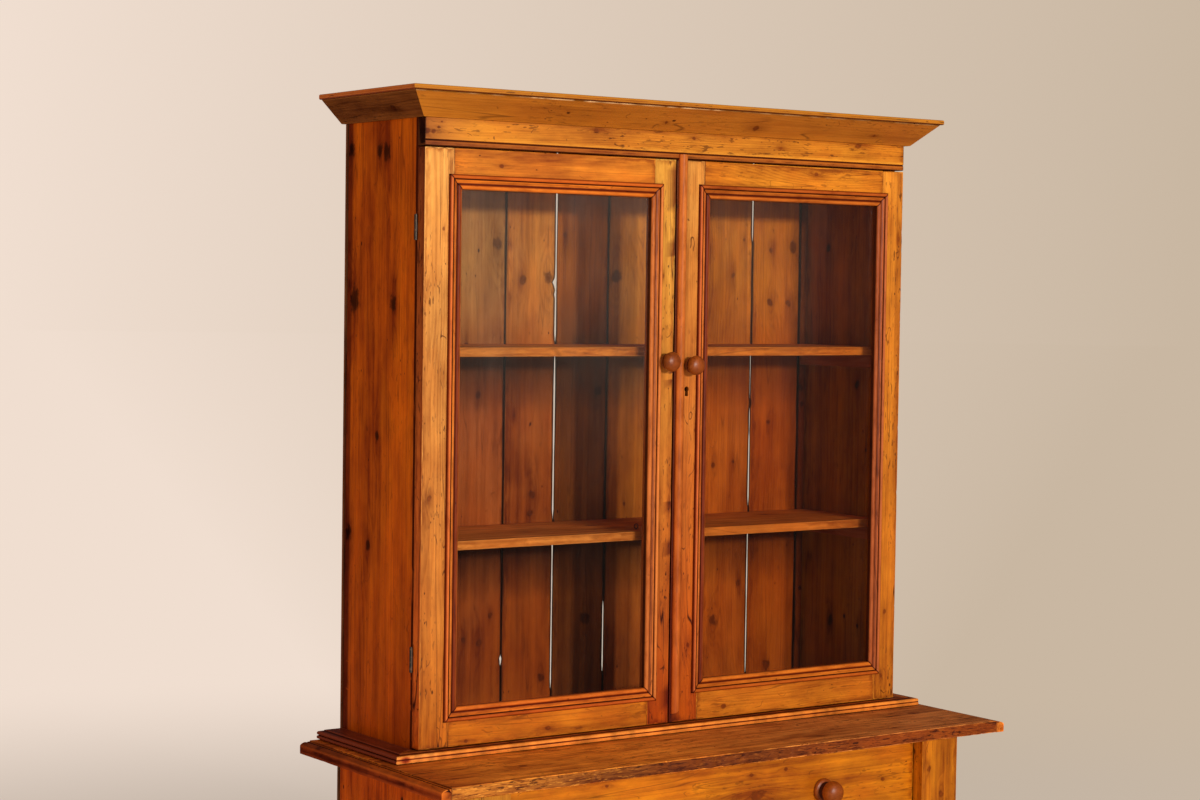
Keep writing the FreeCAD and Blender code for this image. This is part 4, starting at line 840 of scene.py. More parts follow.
def iron(name, base=(0.060, 0.047, 0.040), rust=(0.16, 0.062, 0.028), rough=0.5):
    g = Graph(name)
    co = g.new("ShaderNodeTexCoord").outputs["Object"]
    n1 = g.noise(co, 120.0, 4.0, 0.6)
    n2 = g.noise(co, 900.0, 2.0, 0.6)
    rusty = g.step(n1, 0.48, 0.66)
    col = g.mix(rusty, base, rust)
    col = g.mix(g.m("MULTIPLY", n2, 0.5), col, g.vm("MULTIPLY", col, (1.9, 1.9, 1.9)))
    bp = g.new("ShaderNodeBump")
    g.put(bp.inputs["Strength"], 0.4)
    g.put(bp.inputs["Distance"], 0.0004)
    g.put(bp.inputs["Height"], g.m("ADD", n1, g.m("MULTIPLY", n2, 0.5)))
    sh = g.new("ShaderNodeBsdfPrincipled")
    g.put(sh.inputs["Base Color"], col)
    g.put(sh.inputs["Roughness"], g.m("MULTIPLY_ADD", n1, 0.25, rough - 0.1))
    g.put(sh.inputs["Metallic"], g.step(rusty, 0.2, 0.9, 0.75, 0.1))
    g.put(sh.inputs["Normal"], bp.outputs[0])
    return g.out(sh.outputs[0])


def old_glass(name):
    """Thin window glass: clear straight on, mirroring at a slant, rippled, with a film of real dust that thickens
    towards the top, where it is partly a painted reflection of the room.
    """
    g = Graph(name)
    co = g.new("ShaderNodeTexCoord").outputs["Object"]
    ripple = g.noise(g.vm("MULTIPLY", co, (5.0, 1.0, 2.2)), 1.0, 2.0, 0.5)
    bp = g.new("ShaderNodeBump")
    g.put(bp.inputs["Strength"], 0.5)
    g.put(bp.inputs["Distance"], 0.004)
    g.put(bp.inputs["Height"], ripple)
    lw = g.new("ShaderNodeLayerWeight")
    lw.inputs["Blend"].default_value = 0.5
    face = lw.outputs["Facing"]
    sq = g.m("MULTIPLY", face, face)
    mirror = g.m("MULTIPLY_ADD", g.m("MULTIPLY", g.m("MULTIPLY", sq, sq), face), 0.9, 0.04)
    clear = g.new("ShaderNodeBsdfTransparent")
    clear.inputs[0].default_value = (0.975, 0.982, 0.972, 1.0)
    gloss = g.new("ShaderNodeBsdfAnisotropic")
    gloss.inputs["Color"].default_value = (0.95, 0.97, 0.96, 1.0)
    gloss.inputs["Roughness"].default_value = 0.03
    g.put(gloss.inputs["Normal"], bp.outputs[0])
    veil = g.new("ShaderNodeBsdfDiffuse")
    veil.inputs[0].default_value = (0.55, 0.52, 0.47, 1.0)
    smear = g.noise(g.vm("MULTIPLY", co, (7.0, 1.0, 3.0)), 1.0, 4.0, 0.6)
    px, py, pz = g.sep(co)
    # the film thickens towards the top as a painted reflection of the room over real dust
    high = g.step(pz, 1.25, 2.0)
    less = g.m("MULTIPLY", g.step(px, 0.0, 0.10, 0.034, 0.016), g.step(px, 0.30, 0.48, 1.0, 0.30))
    thick = g.m("MULTIPLY_ADD", high, less, g.step(px, 0.0, 0.10, 0.004, 0.003))
    dust_and_reflection = g.m("MULTIPLY", g.step(smear, 0.30, 0.75, 0.6, 1.3), thick)
    m1 = g.new("ShaderNodeMixShader")
    g.put(m1.inputs[0], dust_and_reflection)
    g.nt.links.new(clear.outputs[0], m1.inputs[1])
    g.nt.links.new(veil.outputs[0], m1.inputs[2])
    m2 = g.new("ShaderNodeMixShader")
    g.put(m2.inputs[0], mirror)
    g.nt.links.new(m1.outputs[0], m2.inputs[1])
    g.nt.links.new(gloss.outputs[0], m2.inputs[2])
    return g.out(m2.outputs[0])


PINE = wood("pine_finish", rings=0.30, fibre=0.30, streak=0.34, patch=0.50, line=0.30, speck=1.45, fleck=1.1, coat=0.05, seam=0.88,
            specular=0.16, rough=(0.38, 0.56), red=0.50, grime=0.80, edge=0.75, mottle=0.30)
RAIL = wood("rail_finish", rings=0.32, fibre=0.30, streak=0.42, patch=0.66, line=0.34, speck=0.75, fleck=0.6, coat=0.05, seam=0.88,
            specular=0.16, rough=(0.38, 0.56), red=0.62, grime=0.85, edge=0.75, mottle=0.38)
PANEL = wood("side_finish", rings=0.30, fibre=0.28, streak=0.40, patch=0.60, line=0.30, speck=0.6, fleck=0.5, coat=0.0,
             specular=0.07, rough=(0.42, 0.60), red=0.55, grime=0.75, edge=0.55, mottle=0.32, knot_dark=1.3,
             core=(0.06, 0.05, 0.10))
MOULD = wood("moulding_finish", rings=0.20, fibre=0.45, streak=0.45, patch=0.45, edge=0.80, dirt=0.95, rough=(0.34, 0.50),
             coat=0.04, specular=0.11, line=0.4, speck=0.8, fleck=0.8, worn=(1.45, 1.70, 2.0), hollow_tint=(0.20, 0.085, 0.035),
             mottle=0.45, layer=0.30)
CROWN_M = wood("crown_finish", rings=0.12, fibre=0.30, streak=0.20, patch=0.30, edge=0.45, dirt=0.8, rough=(0.34, 0.50),
               coat=0.08, specular=0.20, line=0.12, speck=0.8, fleck=0.5, worn=(1.45, 1.70, 2.0), mottle=0.14, layer=0.08)
INSIDE = wood("inside_finish", rings=0.26, fibre=0.25, streak=0.30, patch=0.65, edge=0.45, rough=(0.6, 0.8), coat=0.0,
              specular=0.08, knot_dark=0.9, red=0.50, speck=0.5, line=0.20, fleck=0.3, grime=0.75, mottle=0.26,
              knot_round=0.9, core=(0.25, 0.18, 0.18))
COUNTER = wood("counter_finish", rings=0.30, fibre=0.55, streak=0.45, patch=0.55, edge=0.9, rough=(0.5, 0.72), bump=0.7,
               coat=0.02, specular=0.16, speck=1.3, fleck=1.2, line=0.6, grime=0.35, worn=(1.55, 1.9, 2.4), mottle=0.50,
               layer=0.40, flake=0.85)
KNOB = wood("knob_finish", rings=0.2, fibre=0.2, streak=0.35, patch=0.35, edge=0.2, dirt=0.85, rough=(0.36, 0.48),
            coat=0.16, coat_rough=0.3, specular=0.30, red=0.4, speck=0.4, fleck=0.4, grime=0.0, mottle=0.45)
IRON = iron("iron_finish", (0.075, 0.060, 0.048), (0.12, 0.055, 0.028), 0.5)
GLASS = old_glass("pane_finish")

# Tints: mean colours of the finish in plain light
GOLD = srgb(231, 144, 46)
AMBER = srgb(224, 134, 28)
TAN = srgb(216, 117, 20)
BROWN = srgb(212, 114, 12)
FRIEZE_T = srgb(206, 124, 29)
CROWN_T = srgb(170, 95, 19)
CROWN_L = srgb(115, 60, 17)
CROWN_R = srgb(170, 84, 20)
MOULD_DARK = srgb(185, 93, 32)
MOULD_MID = srgb(186, 80, 19)
RUSSET = srgb(176, 86, 30)
SIDE_L = srgb(186, 79, 1)
SIDE_R = srgb(204, 92, 14)
WAIST_L = srgb(118, 44, 21)
WAIST_F = srgb(235, 134, 48)
INNER = srgb(184, 98, 40)
INNER_RED = srgb(180, 90, 38)
INNER_GOLD = srgb(196, 106, 40)
INNER_DARK = srgb(150, 74, 30)
SHELF = srgb(223, 132, 47)
TOP = srgb(215, 118, 31)
BACKS = srgb(160, 100, 52)
DRAWER_IN = srgb(190, 128, 72)
KNOB_T = srgb(144, 67, 13)
BASE_L = srgb(200, 83, 1)
BASE_R = srgb(204, 92, 14)
RAIL_LT = srgb(204, 117, 28)
RAIL_LB = srgb(205, 113, 19)
RAIL_RT = srgb(214, 128, 27)
RAIL_RB = srgb(203, 114, 22)
STILE_LM = srgb(224, 134, 28)
STILE_RM = srgb(203, 117, 28)
STILE_RH = srgb(224, 134, 28)
STILE_BL = srgb(193, 130, 34)
STILE_BR = srgb(195, 113, 13)
DRAWER_T = srgb(194, 110, 7)
CAP_T = srgb(171, 95, 15)
MOULD_LR = srgb(183, 96, 37)
MOULD_RL = srgb(175, 86, 33)
MOULD_RR = srgb(155, 74, 31)
MOULD_RB = srgb(187, 85, 18)
NOSE_L = srgb(150, 68, 14)
NOSE_R = srgb(176, 88, 24)
TOP_L = srgb(188, 86, 20)
TOP_R = srgb(171, 78, 19)


def door_light_and_shade(sign, share=(0.46, 0.25, 0.20), low=(0.70, 0.50, 0.25), high=(1.08, 1.33, 2.6), foot=None):
    """Painted light and shade on a door: the faces pale and brighten towards the top, as painted light that falls off
    towards the foot; the edge face on the side given by sign is painted dark as shade in the gap beside the door, the
    top edge is painted dark as the shadow under the frieze, and the back faces are a little darker.
    """
    def f(q, n):
        # painted light: paler and brighter towards the top
        h = max(0.0, min(1.0, (q[2] - 850.0) / 1200.0))
        m = [low[c] + (high[c] - low[c]) * h for c in range(3)]
        # painted shade on the edge face beside the gap
        if n is not None and n[0] * sign > 0.7:
            m = [m[c] * (share[c] + ((foot or share)[c] - share[c]) * (1 - h)) for c in range(3)]
        elif n is not None and n[1] > 0.7:
            m = [m[c] * (0.8, 0.7, 0.6)[c] for c in range(3)]
        # painted shadow on the top edge, under the frieze
        elif n is not None and n[2] > 0.7:
            m = [m[c] * (0.22, 0.14, 0.12)[c] for c in range(3)]
        return m
    return f


# the same painted light and shade, without a dark side edge
def fade(low=(0.94, 0.84, 0.62), high=(1.06, 1.16, 1.45)):
    return door_light_and_shade(0, low=low, high=high)


FACE, DOOR_BACK, FRONT, BACK, OUT = -33.3, -6.3, -5.3, 278.7, 291.7

# ---------------------------------------------------------------------------------------------------------------------
# Upper case
# ---------------------------------------------------------------------------------------------------------------------


def right_inner_shadow(q):
    """Painted shadow on the inner face of the right side board, where the right door's stiles shade it; it is darkest
    half way up.
    """
    h = max(-1.0, min(1.0, (q[2] - 1440.0) / 500.0))
    end = (0.54, 0.70, 0.14) if h > 0 else (0.54, 0.88, 0.31)
    return [(0.42, 0.64, 0.21)[c] * (1 - abs(h)) + end[c] * abs(h) for c in range(3)]


def side_tone_and_shade(q, n):
    """A painted shadow along the doors, on the front edge and the first 6.4 mm of the face; a painted highlight on the
    rounded rear edge; a darker band where the side meets the back boards; a tone that changes with height.
    """
    # painted highlight on the rounded rear edge
    if n[1] > 0.7:
        return (0.75, 0.90, 3.0)
    # painted shadow of the gap between the side and the doors
    if n[1] < -0.7 or (n[0] < -0.7 and q[1] < FRONT + 6.4):
        return (0.16, 0.10, 0.20)
    h = (q[2] - 821.0) / 669.0
    foot, mid, top = (0.93, 0.78, 0.30), (1.13, 1.26, 0.70), (1.00, 1.03, 0.60)
    m = [foot[c] * (1 - h) + mid[c] * h if h < 1 else mid[c] * (2 - h) + top[c] * (h - 1) for c in range(3)]
    if n[0] < -0.7 and q[1] > BACK - 17.0:
        return [m[c] * (0.34, 0.22, 0.40)[c] for c in range(3)]
    return m


p = Piece("case_side_left")
board(p, (-635, FRONT + 0.2, 821), (-615, BACK, 2159), "z", SIDE_L, 1, r=0.9, mid=3, hollow=0.5, knots=[
    (0, 264, 2056, 11), (0, 147, 2052, 11), (0, 118, 2046, 14), (0, 245, 1745, 19), (0, 87, 1738, 12), (0, 149, 1465, 8),
    (0, 264, 1255, 12), (0, 180, 1237, 8)],
      strips=(5.0, 6.4, 15.0, 22.0), mul=side_tone_and_shade)
p.finish("case", PANEL, ["upper_side_left"])
p = Piece("case_side_right")
board(p, (615, FRONT + 0.2, 821), (635, BACK, 2159), "z", SIDE_R, 2, r=0.9, mid=3, hollow=0.5, knots=[
    (0, 170, 1000, 9), (0, 120, 1015, 3.5), (0, 73, 997, 3.5), (0, 90, 1560, 7), (0, 200, 1880, 8), (0, 54, 1410, 3)],
      mul=lambda q, n: right_inner_shadow(q) if n[0] < -0.7 else (1.0, 1.0, 1.0))
p.finish("case", PANEL, ["upper_side_right"])

lo, hi = span("upper_top_board")
p = Piece("case_top_board")
board(p, lo, hi, "x", INNER_DARK, 3, r=0.8, random_knots=5, mid=2, hollow=0.4)
p.finish("case", INSIDE, ["upper_top_board"])


def cylinder_cutter(x, y, z0, z1, r, n=24):
    pts = [(x + r * math.cos(2 * math.pi * k / n), y + r * math.sin(2 * math.pi * k / n), z) for z in (z0, z1) for k in range(n)]
    faces = [tuple(range(n)), tuple(range(2 * n - 1, n - 1, -1))]
    faces += [(k, (k + 1) % n, n + (k + 1) % n, n + k) for k in range(n)]
    return pts, faces


lo, hi = span("upper_bottom_board")
p = Piece("case_bottom_board")
board(p, lo, hi, "x", INNER_DARK, 4, r=0.8, wear=0.6, random_knots=5)
p.finish("case", INSIDE, ["upper_bottom_board"], cutters=[cylinder_cutter(-38, -0.8, 838, 860, 3.6)])

JOINTS = [-635, -514, -376, -238, -104, 37, 175, 313, 452, 593, 635]


def lit(spans, z):
    """1 inside the given height ranges, with soft ends."""
    best = 0.0
    for a, b, v in spans:
        soft = 18.0 if b - a > 60 else 5.0
        best = max(best, v * max(0.0, min(1.0, (z - a) / soft, (b - z) / soft)))
    return best


# Open joints: the edges of these boards are out of square, so light comes through where they stand apart.
SLANT = {-104: 4.6, 37: 4.8, 452: 5.4, -238: 4.4}
OPEN = {
    -104: [(1655, 2115, 1.0), (1262, 1630, 1.0), (880, 1234, 0.8)],
    37: [(905, 1070, 1.0)],
    452: [(1890, 2115, 0.9), (1270, 1450, 1.0), (1450, 1500, 0.6), (1520, 1600, 0.35), (870, 1230, 0.95), (1560, 1640, 0.5)],
    -238: [(945, 965, 1.9)],
}


# The boards behind the glass are darker and redder towards the foot of the case, with painted light and shade: the
# lamps' light falls off towards the foot, and the meeting stiles' shadow falls on the boards behind them. Factors at
# the foot, middle and top.
INNER_TONE_AND_LIGHT = [((0.86, 0.63, 0.27), (0.81, 0.76, 0.87), (1.05, 1.74, 2.18)),
         ((0.86, 0.63, 0.27), (0.81, 0.76, 0.87), (1.05, 1.74, 2.18)),
         ((0.86, 0.63, 0.24), (0.81, 0.75, 0.80), (1.05, 1.74, 2.18)),
         ((0.64, 0.42, 0.16), (0.77, 0.66, 0.51), (1.36, 1.81, 1.68)),
         ((0.58, 0.61, 0.35), (0.51, 0.57, 0.27), (1.32, 1.63, 0.54)),
         ((0.76, 0.62, 0.33), (1.01, 1.15, 0.49), (1.33, 1.76, 0.91)),
         ((0.76, 0.54, 0.24), (0.90, 0.76, 0.30), (1.22, 1.25, 0.60)),
         ((0.98, 0.70, 0.22), (0.90, 0.67, 0.21), (1.20, 1.33, 0.46)),
         ((0.84, 0.55, 0.12), (0.88, 0.54, 0.13), (1.32, 1.35, 0.40)),
         ((0.66, 0.45, 0.15), (0.77, 0.48, 0.15), (1.09, 1.09, 0.40))]


def shelf_shadow(z, k):
    """Painted shadow under the shelves: 1 where the boards behind are darkest, just under a shelf, and 0 from 120 mm
    below it.
    """
    if z > 1236.0:
        f = 1.0 - abs(z - 1622.0) / (125.0 if z < 1622.0 else 12.0)
    else:
        f = 1.0 - abs(z - 1200.0) / (115.0 if z < 1200.0 else 40.0)
    return max(0.0, f) ** 0.8 * (1.0 if k < 6 else 0.85) * (1.0 + 0.2 * wob(k * 2.3, 7))


def inner_tone_and_light(z, k):
    a, b, c = INNER_TONE_AND_LIGHT[k]
    h = (z - 930.0) / 520.0
    if h < 1.0:
        f = max(0.0, h)
        m = [a[i] + (b[i] - a[i]) * f for i in range(3)]
    else:
        f = max(0.0, min(1.0, (z - 1560.0) / 250.0))
        m = [b[i] + (c[i] - b[i]) * f for i in range(3)]
    # painted shadow of the top rail on the upper ends of the boards
    top_shadow = max(0.0, min(1.0, (z - 1925.0) / 45.0))
    # painted shadow under each shelf
    shelf = min(1.0, shelf_shadow(z, k))
    return [m[i] * (1.0 + top_shadow * (0.66, 0.58, 0.55)[i] - top_shadow) * (1.0 - shelf * (0.80, 0.79, 0.74)[i]) for i in range(3)]


def back_planks(piece, joints, y0, y1, z0, z1, tints, seeds, knots, gap, slanted=None, tone=None):
    for k in range(len(joints) - 1):
        xl, xr = joints[k], joints[k + 1]
        first, last = k == 0, k == len(joints) - 2
        lo = (xl, y0, z0)
        hi = (xr, y1, z1)
        g = Grain(lo, hi, "z", tints[k % len(tints)], seeds + k, knots.get(k, ()), True, "x",
                  0 if k in knots else 4, (4, 9))
        steps = int((z1 - z0) / 9)
        rings = []
        mults = []
        for m in range(steps + 1):
            z = z0 + (z1 - z0) * m / steps
            inset = 0.8 if m in (0, steps) else 0.0

            def edge(joint, sign):
                """Front and back x of an edge; sign -1 is the board on the joint's left."""
                if joint in (joints[0], joints[-1]):
                    return joint, joint
                half = gap / 2 * (1.0 + 0.5 * wob(z / 90.0, joint * 0.37))
                lean = 0.0
                if slanted and joint in SLANT:
                    lean = SLANT[joint]
                    openness = lit(OPEN[joint], z)
                    half = 0.12 + ((1.75 if joint == -104 else 1.45) + 0.35 * wob(z / 40.0, joint * 0.11)) * openness
                    if openness < 0.05:
                        lean *= 0.6
                        half = gap / 2 * 0.55
                    if joint == -104 and sign < 0:
                        half += 7.0 * math.exp(-((z - 1787) / 7.5) ** 2) + 2.6 * math.exp(-((z - 1763) / 5.0) ** 2)
                        half -= 1.6 * math.exp(-((z - 1774) / 3.5) ** 2)
                    if joint == 452 and sign > 0:
                        half += 1.6 * math.exp(-((z - 1640) / 9.0) ** 2)
                return joint + sign * half - lean, joint + sign * half + lean
            lf, lb = edge(xl, 1)
            rf, rb = edge(xr, -1)
            e = 0.7
            cl = 0.7 if first else 2.5 + 0.9 * wob(z / 70.0, k * 1.3)
            cr = 0.7 if last else 2.5 + 0.9 * wob(z / 60.0, k * 2.1 + 5)

            def left(y, add=0.0):
                return lf + (lb - lf) * (y - y0) / (y1 - y0) + add + inset

            def right(y, add=0.0):
                return rf + (rb - rf) * (y - y0) / (y1 - y0) - add - inset

            ring = [(left(y0, cl * 1.7), y0), (left(y0 + 0.25, cl * 1.25), y0 + 0.25), (left(y0 + 1.1, cl * 0.4), y0 + 1.1),
                    (left(y0 + cl * 1.2), y0 + cl * 1.2), (left(y1 - e), y1 - e), (left(y1, e), y1), (right(y1, e), y1),
                    (right(y1 - e), y1 - e), (right(y0 + cr * 1.2), y0 + cr * 1.2), (right(y0 + 1.1, cr * 0.4), y0 + 1.1),
                    (right(y0 + 0.25, cr * 1.25), y0 + 0.25), (right(y0, cr * 1.7), y0)]
            rings.append([(x, y, z) for x, y in ring])
            if tone:
                m = tone(z, k)
                dark = [m[c] * (0.20, 0.22, 0.26)[c] for c in range(3)]
                half = [m[c] * (0.50, 0.50, 0.50)[c] for c in range(3)]
                bare = [((0.60, 0.84, 1.45) if slanted else (0.80, 0.80, 0.90))[c] * (1.0 + 0.10 * wob(k * 1.7, 3)) for c in range(3)]
                mults += [m, half, dark, dark, bare, bare, bare, bare, dark, dark, half, m]
        piece.rings(rings, g, mul=mults)


p = Piece("case_back_boards")
back_planks(p, JOINTS, BACK, OUT, 821, 2159,
            [INNER_RED, INNER, INNER, INNER_GOLD, INNER_RED, INNER, INNER_RED, INNER_GOLD, INNER_GOLD, INNER_DARK], 20, {
                2: [(-262, 0, 1872, 11), (-340, 0, 1649, 5), (-308, 0, 1540, 6), (-298, 0, 996, 8), (-270, 0, 1056, 6), (-339, 0, 1005, 5)],
                3: [(-195, 0, 1792, 9), (-129, 0, 1800, 12), (-214, 0, 1495, 3), (-164, 0, 1316, 9), (-169, 0, 1277, 7), (-134, 0, 908, 8)],
                4: [(-16, 0, 1033, 12), (-85, 0, 1894, 5), (10, 0, 1547, 9)],
                5: [(58, 0, 1805, 12), (87, 0, 1287, 4)],
                7: [(391, 0, 1812, 5), (422, 0, 1895, 3), (400, 0, 1374, 4), (341, 0, 1368, 6), (421, 0, 1087, 6), (346, 0, 1004, 12)],
                8: [(504, 0, 1873, 6), (570, 0, 1882, 12), (503, 0, 1748, 8), (558, 0, 1748, 7), (504, 0, 1466, 5), (510, 0, 886, 11)],
            }, 2.4, True, inner_tone_and_light)
case_back = p.finish("case", INSIDE, ["upper_backboards"])


def nail_heads(name, places, y, body, out=0.7):
    """Flat wrought heads on the back boards."""
    q = Piece(name)
    for n, (x, z) in enumerate(places):
        r = 2.6 + 0.5 * hashed(n, 5)
        prof = [(r, -0.6), (r, 0.2), (r * 0.8, out * 0.8), (r * 0.4, out), (0.0, out)]
        base = len(q.co)
        seg = 9
        turn = hashed(n, 9) * 3
        g = Grain((x - r, y - 1, z - r), (x + r, y + 1, z + r), "y", (0.05, 0.04, 0.035), 7)
        m = len(prof)
        for a in range(seg):
            ang = 2 * math.pi * a / seg + turn
            rr = 1 + 0.12 * wob(a * 1.7, n)
            for (pr, d) in prof[:-1]:
                q.co.append((x + pr * rr * math.cos(ang), y + d, z + pr * rr * math.sin(ang)))
                q.cav.append(0.0)
        tip = len(q.co)
        q.co.append((x, y + out, z))
        q.cav.append(0.0)
        for a in range(seg):
            b = (a + 1) % seg
            for c in range(m - 2):
                q.faces.append((base + a * (m - 1) + c, base + b * (m - 1) + c, base + b * (m - 1) + c + 1, base + a * (m - 1) + c + 1))
            q.faces.append((base + a * (m - 1) + m - 2, base + b * (m - 1) + m - 2, tip))
        q.faces.append(tuple(base + a * (m - 1) for a in range(seg)))
        q.parts.append((base, len(q.co), g))
    return q.finish(body, IRON, [])


def shelf_light_and_shade(low):
    # painted light: the upper shelf's top and the lower shelf's front edge are lighter; the right halves are darker
    def f(q, n):
        if q[0] > 0:
            return (0.80, 0.68, 0.62) if low else (0.92, 0.76, 0.50)
        if low:
            return (1.08, 1.14, 1.50) if n[1] < -0.7 else (0.93, 0.94, 1.3)
        return (1.28, 1.33, 1.1) if n[2] > 0.7 else (1.0, 1.0, 1.0)
    return f


for name, tint, seed in (("shelf_lower", SHELF, 41), ("shelf_upper", SHELF, 42)):
    lo, hi = span(name)
    p = Piece(name + "_board")
    board(p, lo, hi, "x", tint, seed, r=1.4, wear=1.3, random_knots=4, mid=2, hollow=0.3,
          mul=shelf_light_and_shade(name == "shelf_lower"))
    p.finish("case", INSIDE, [name])

p = Piece("shelf_cleat_strips")
seed = 50
for top in (1236, 1632):
    for x0 in (-615, 596):
        board(p, (x0, 19.7, top - 30), (x0 + 19, BACK, top), "y", INNER_DARK, seed, r=1.2)
        seed += 1
p.finish("case", INSIDE, ["shelf_cleats"])

# Frieze with a quirked bead on its lower edge
fz = 2055.0
FRIEZE = eased(outline([
    (FACE, fz + 2.5), ("arc", FACE + 0.6, fz + 0.7), (FACE + 2.5, fz), (FRONT, fz), (FRONT, 2159), (FACE, 2159),
    (FACE, fz + 13), (FACE + 2.2, fz + 12), (FACE + 2.2, fz + 10.6), (FACE, fz + 9.6)], 4), 0.7)


def frieze_tone(q, n):
    """A painted shadow on the underside and the lowest 2 mm of the bead, above the gap over the doors; a darker bead
    with a darker quirk; darker end grain; and a face that is worn darker at its left end.
    """
    # end grain, and the painted shadow on the underside of the bead
    if abs(q[0]) > 634.5 or (q[2] < fz + 1.0 and q[1] > FACE + 1.2):
        return (0.16, 0.09, 0.12)
    f = max(0.0, min(1.0, (q[0] + 635.0) / 130.0))
    m = [(0.58, 0.50, 0.98)[c] * (1 - f) + f for c in range(3)]
    f = max(0.0, min(1.0, (q[0] - 100.0) / 300.0))
    m = [m[c] * ((1.12, 1.12, 0.92)[c] * f + 1 - f) for c in range(3)]
    if q[2] < fz + 13.4:
        k = (0.60, 0.42, 0.44) if q[2] < fz + 9.0 else (0.36, 0.22, 0.24)
        # painted shadow on the lowest 2 mm of the bead
        if q[2] < fz + 2.2:
            k = (0.20, 0.11, 0.12)
        m = [m[c] * k[c] for c in range(3)]
    return m


p = Piece("case_frieze")
sweep(p, FRIEZE, lambda u, v, t: (-635 + 1270 * t, u, v), 1270, FRIEZE_T, 60, "x", (-635, FACE, fz), (635, FRONT, 2159),
      knots=[(-630, 0, 2084, 5.5), (-616, 0, 2083, 4.0), (-604, 0, 2092, 2.4), (-597, 0, 2103, 1.8), (34, 0, 2100, 3.2),
             (274, 0, 2090, 3.5), (-222, 0, 2104, 4.0), (497, 0, 2105, 5.5)], step=20, chips=0.6, cav_scale=0.9, edges=True,
      keep=(0.0015, 0.9985), mul=frieze_tone)
p.finish("case", PINE, ["frieze_board"])

# Cornice: raked boards, mitred at the corners
CROWN = eased([(0, 2111), (10, 2111), (56.2, 2157.2), (58, 2159), (34, 2159), (0, 2125)], 1.2)


def crown_tone(q, n):
    """The top edge of the raked board is pale, nearly white, in places; its left end is a little paler."""
    f = max(0.0, min(1.0, (q[0] + 640.0) / 280.0))
    m = [(1.18, 1.28, 1.45)[c] * (1 - f) + f for c in range(3)]
    if q[2] > 2157.0 and q[1] < FACE - 50:
        k = 0.5 + 0.3 * wob(q[0] / 23.0, 6) + 0.35 * wob(q[0] / 12.0, 2)
        k = max(0.0, k * (1.0 if -420 < q[0] < 60 else 0.35) - 0.10)
        m = [m[c] * (0.50 + k * (1.6, 3.5, 28.0)[c]) for c in range(3)]
    return m


def cap_shade(u, v):
    # painted shadow on the lower part of the cap's nose, where it overhangs the crown; its upper part is lighter
    return (0.26, 0.15, 0.15) if v < 2162.4 else (1.10, 1.28, 1.7)


p = Piece("crown_front_board")
sweep(p, CROWN, lambda o, z, t: (-(635 + o) + 0.15 + 2 * (635 + o - 0.15) * t, FACE - o, z), 1350, CROWN_T, 61, "x",
      (-693, FACE - 58, 2111), (693, FACE, 2159), knots=[(181, -60, 2143, 5.5), (-60, -60, 2128, 2.5), (520, -60, 2140, 2.5)],
      step=9, chips=1.0, mul=crown_tone)
p.finish("case", CROWN_M, ["crown_front"])
p = Piece("crown_return_boards")
for sign, seed, tint in ((-1, 62, CROWN_L), (1, 63, CROWN_R)):
    sweep(p, CROWN, lambda o, z, t, sg=sign: (sg * (635 + o), FACE - o + 0.15 + (OUT - FACE + o - 0.3) * t, z), 360, tint, seed, "y",
          (sign * 693 if sign < 0 else 635, FACE - 58, 2111), (-635 if sign < 0 else 693, OUT, 2159),
          knots=[(sign * 665, 44, 2120, 6)] if sign < 0 else [(sign * 665, 150, 2130, 5)], step=20, chips=0.8)
p.finish("case", MOULD, ["crown_returns"])

CAP = eased([(0, 2159), (64, 2159), (64, 2170), (0, 2170), (-20, 2170), (-20, 2159)], 3.6)
CAP = [(u, v) for u, v in CAP]
p = Piece("cornice_cap_strips")


def cap_front(u, v, t):
    x = 635 + u
    return (-x + 0.15 + 2 * (x - 0.15) * t, (FACE - u) if u > 0 else FACE - u * 1.4, v)


CAP_F = eased([(-20, 2159), (64, 2159), (64, 2170), (-20, 2170)], 3.4)
sweep(p, CAP_F, cap_front, 1398, CAP_T, 64, "x", (-699, FACE - 64, 2159), (699, FRONT, 2170), step=20, chips=1.6, random_knots=4, shade=cap_shade)
for sign, seed, tint in ((-1, 65, MOULD_DARK), (1, 66, CROWN_R)):
    def cap_side(u, v, t, sg=sign):
        y0 = (FACE - u) if u > 0 else FACE - u * 1.4
        return (sg * (635 + u), y0 + 0.15 + (OUT - y0 - 0.3) * t, v)
    sweep(p, CAP_F, cap_side, 389, tint, seed, "y", (-699 if sign < 0 else 615, FACE - 64, 2159),
          (-615 if sign < 0 else 699, OUT, 2170), step=20, chips=1.0, random_knots=2,
          # painted shadow on the lower part of the cap's nose
          shade=lambda u, v: (0.40, 0.28, 0.25) if v < 2162.4 else (1.0, 1.0, 1.0))
p.finish("case", PINE, ["cornice_cap"])

# Moulding round the foot of the upper case
W_TOP, C_TOP, C_LOW = 840.0, 821.0, 795.0


def waist(depth, wall):
    e = depth
    return eased(outline([
        (wall, C_TOP), (wall, W_TOP), (e - 18, W_TOP), (e - 18, W_TOP - 1.5), (e - 4, W_TOP - 1.5), ("arc", e - 0.5, W_TOP - 5.2),
        (e - 4, W_TOP - 8.9), (e - 6, W_TOP - 9.4), (e - 3.6, W_TOP - 10.2), ("arc", e, W_TOP - 13.8),
        (e - 3.6, W_TOP - 17.2), (e - 7, C_TOP)], 6), 0.5)


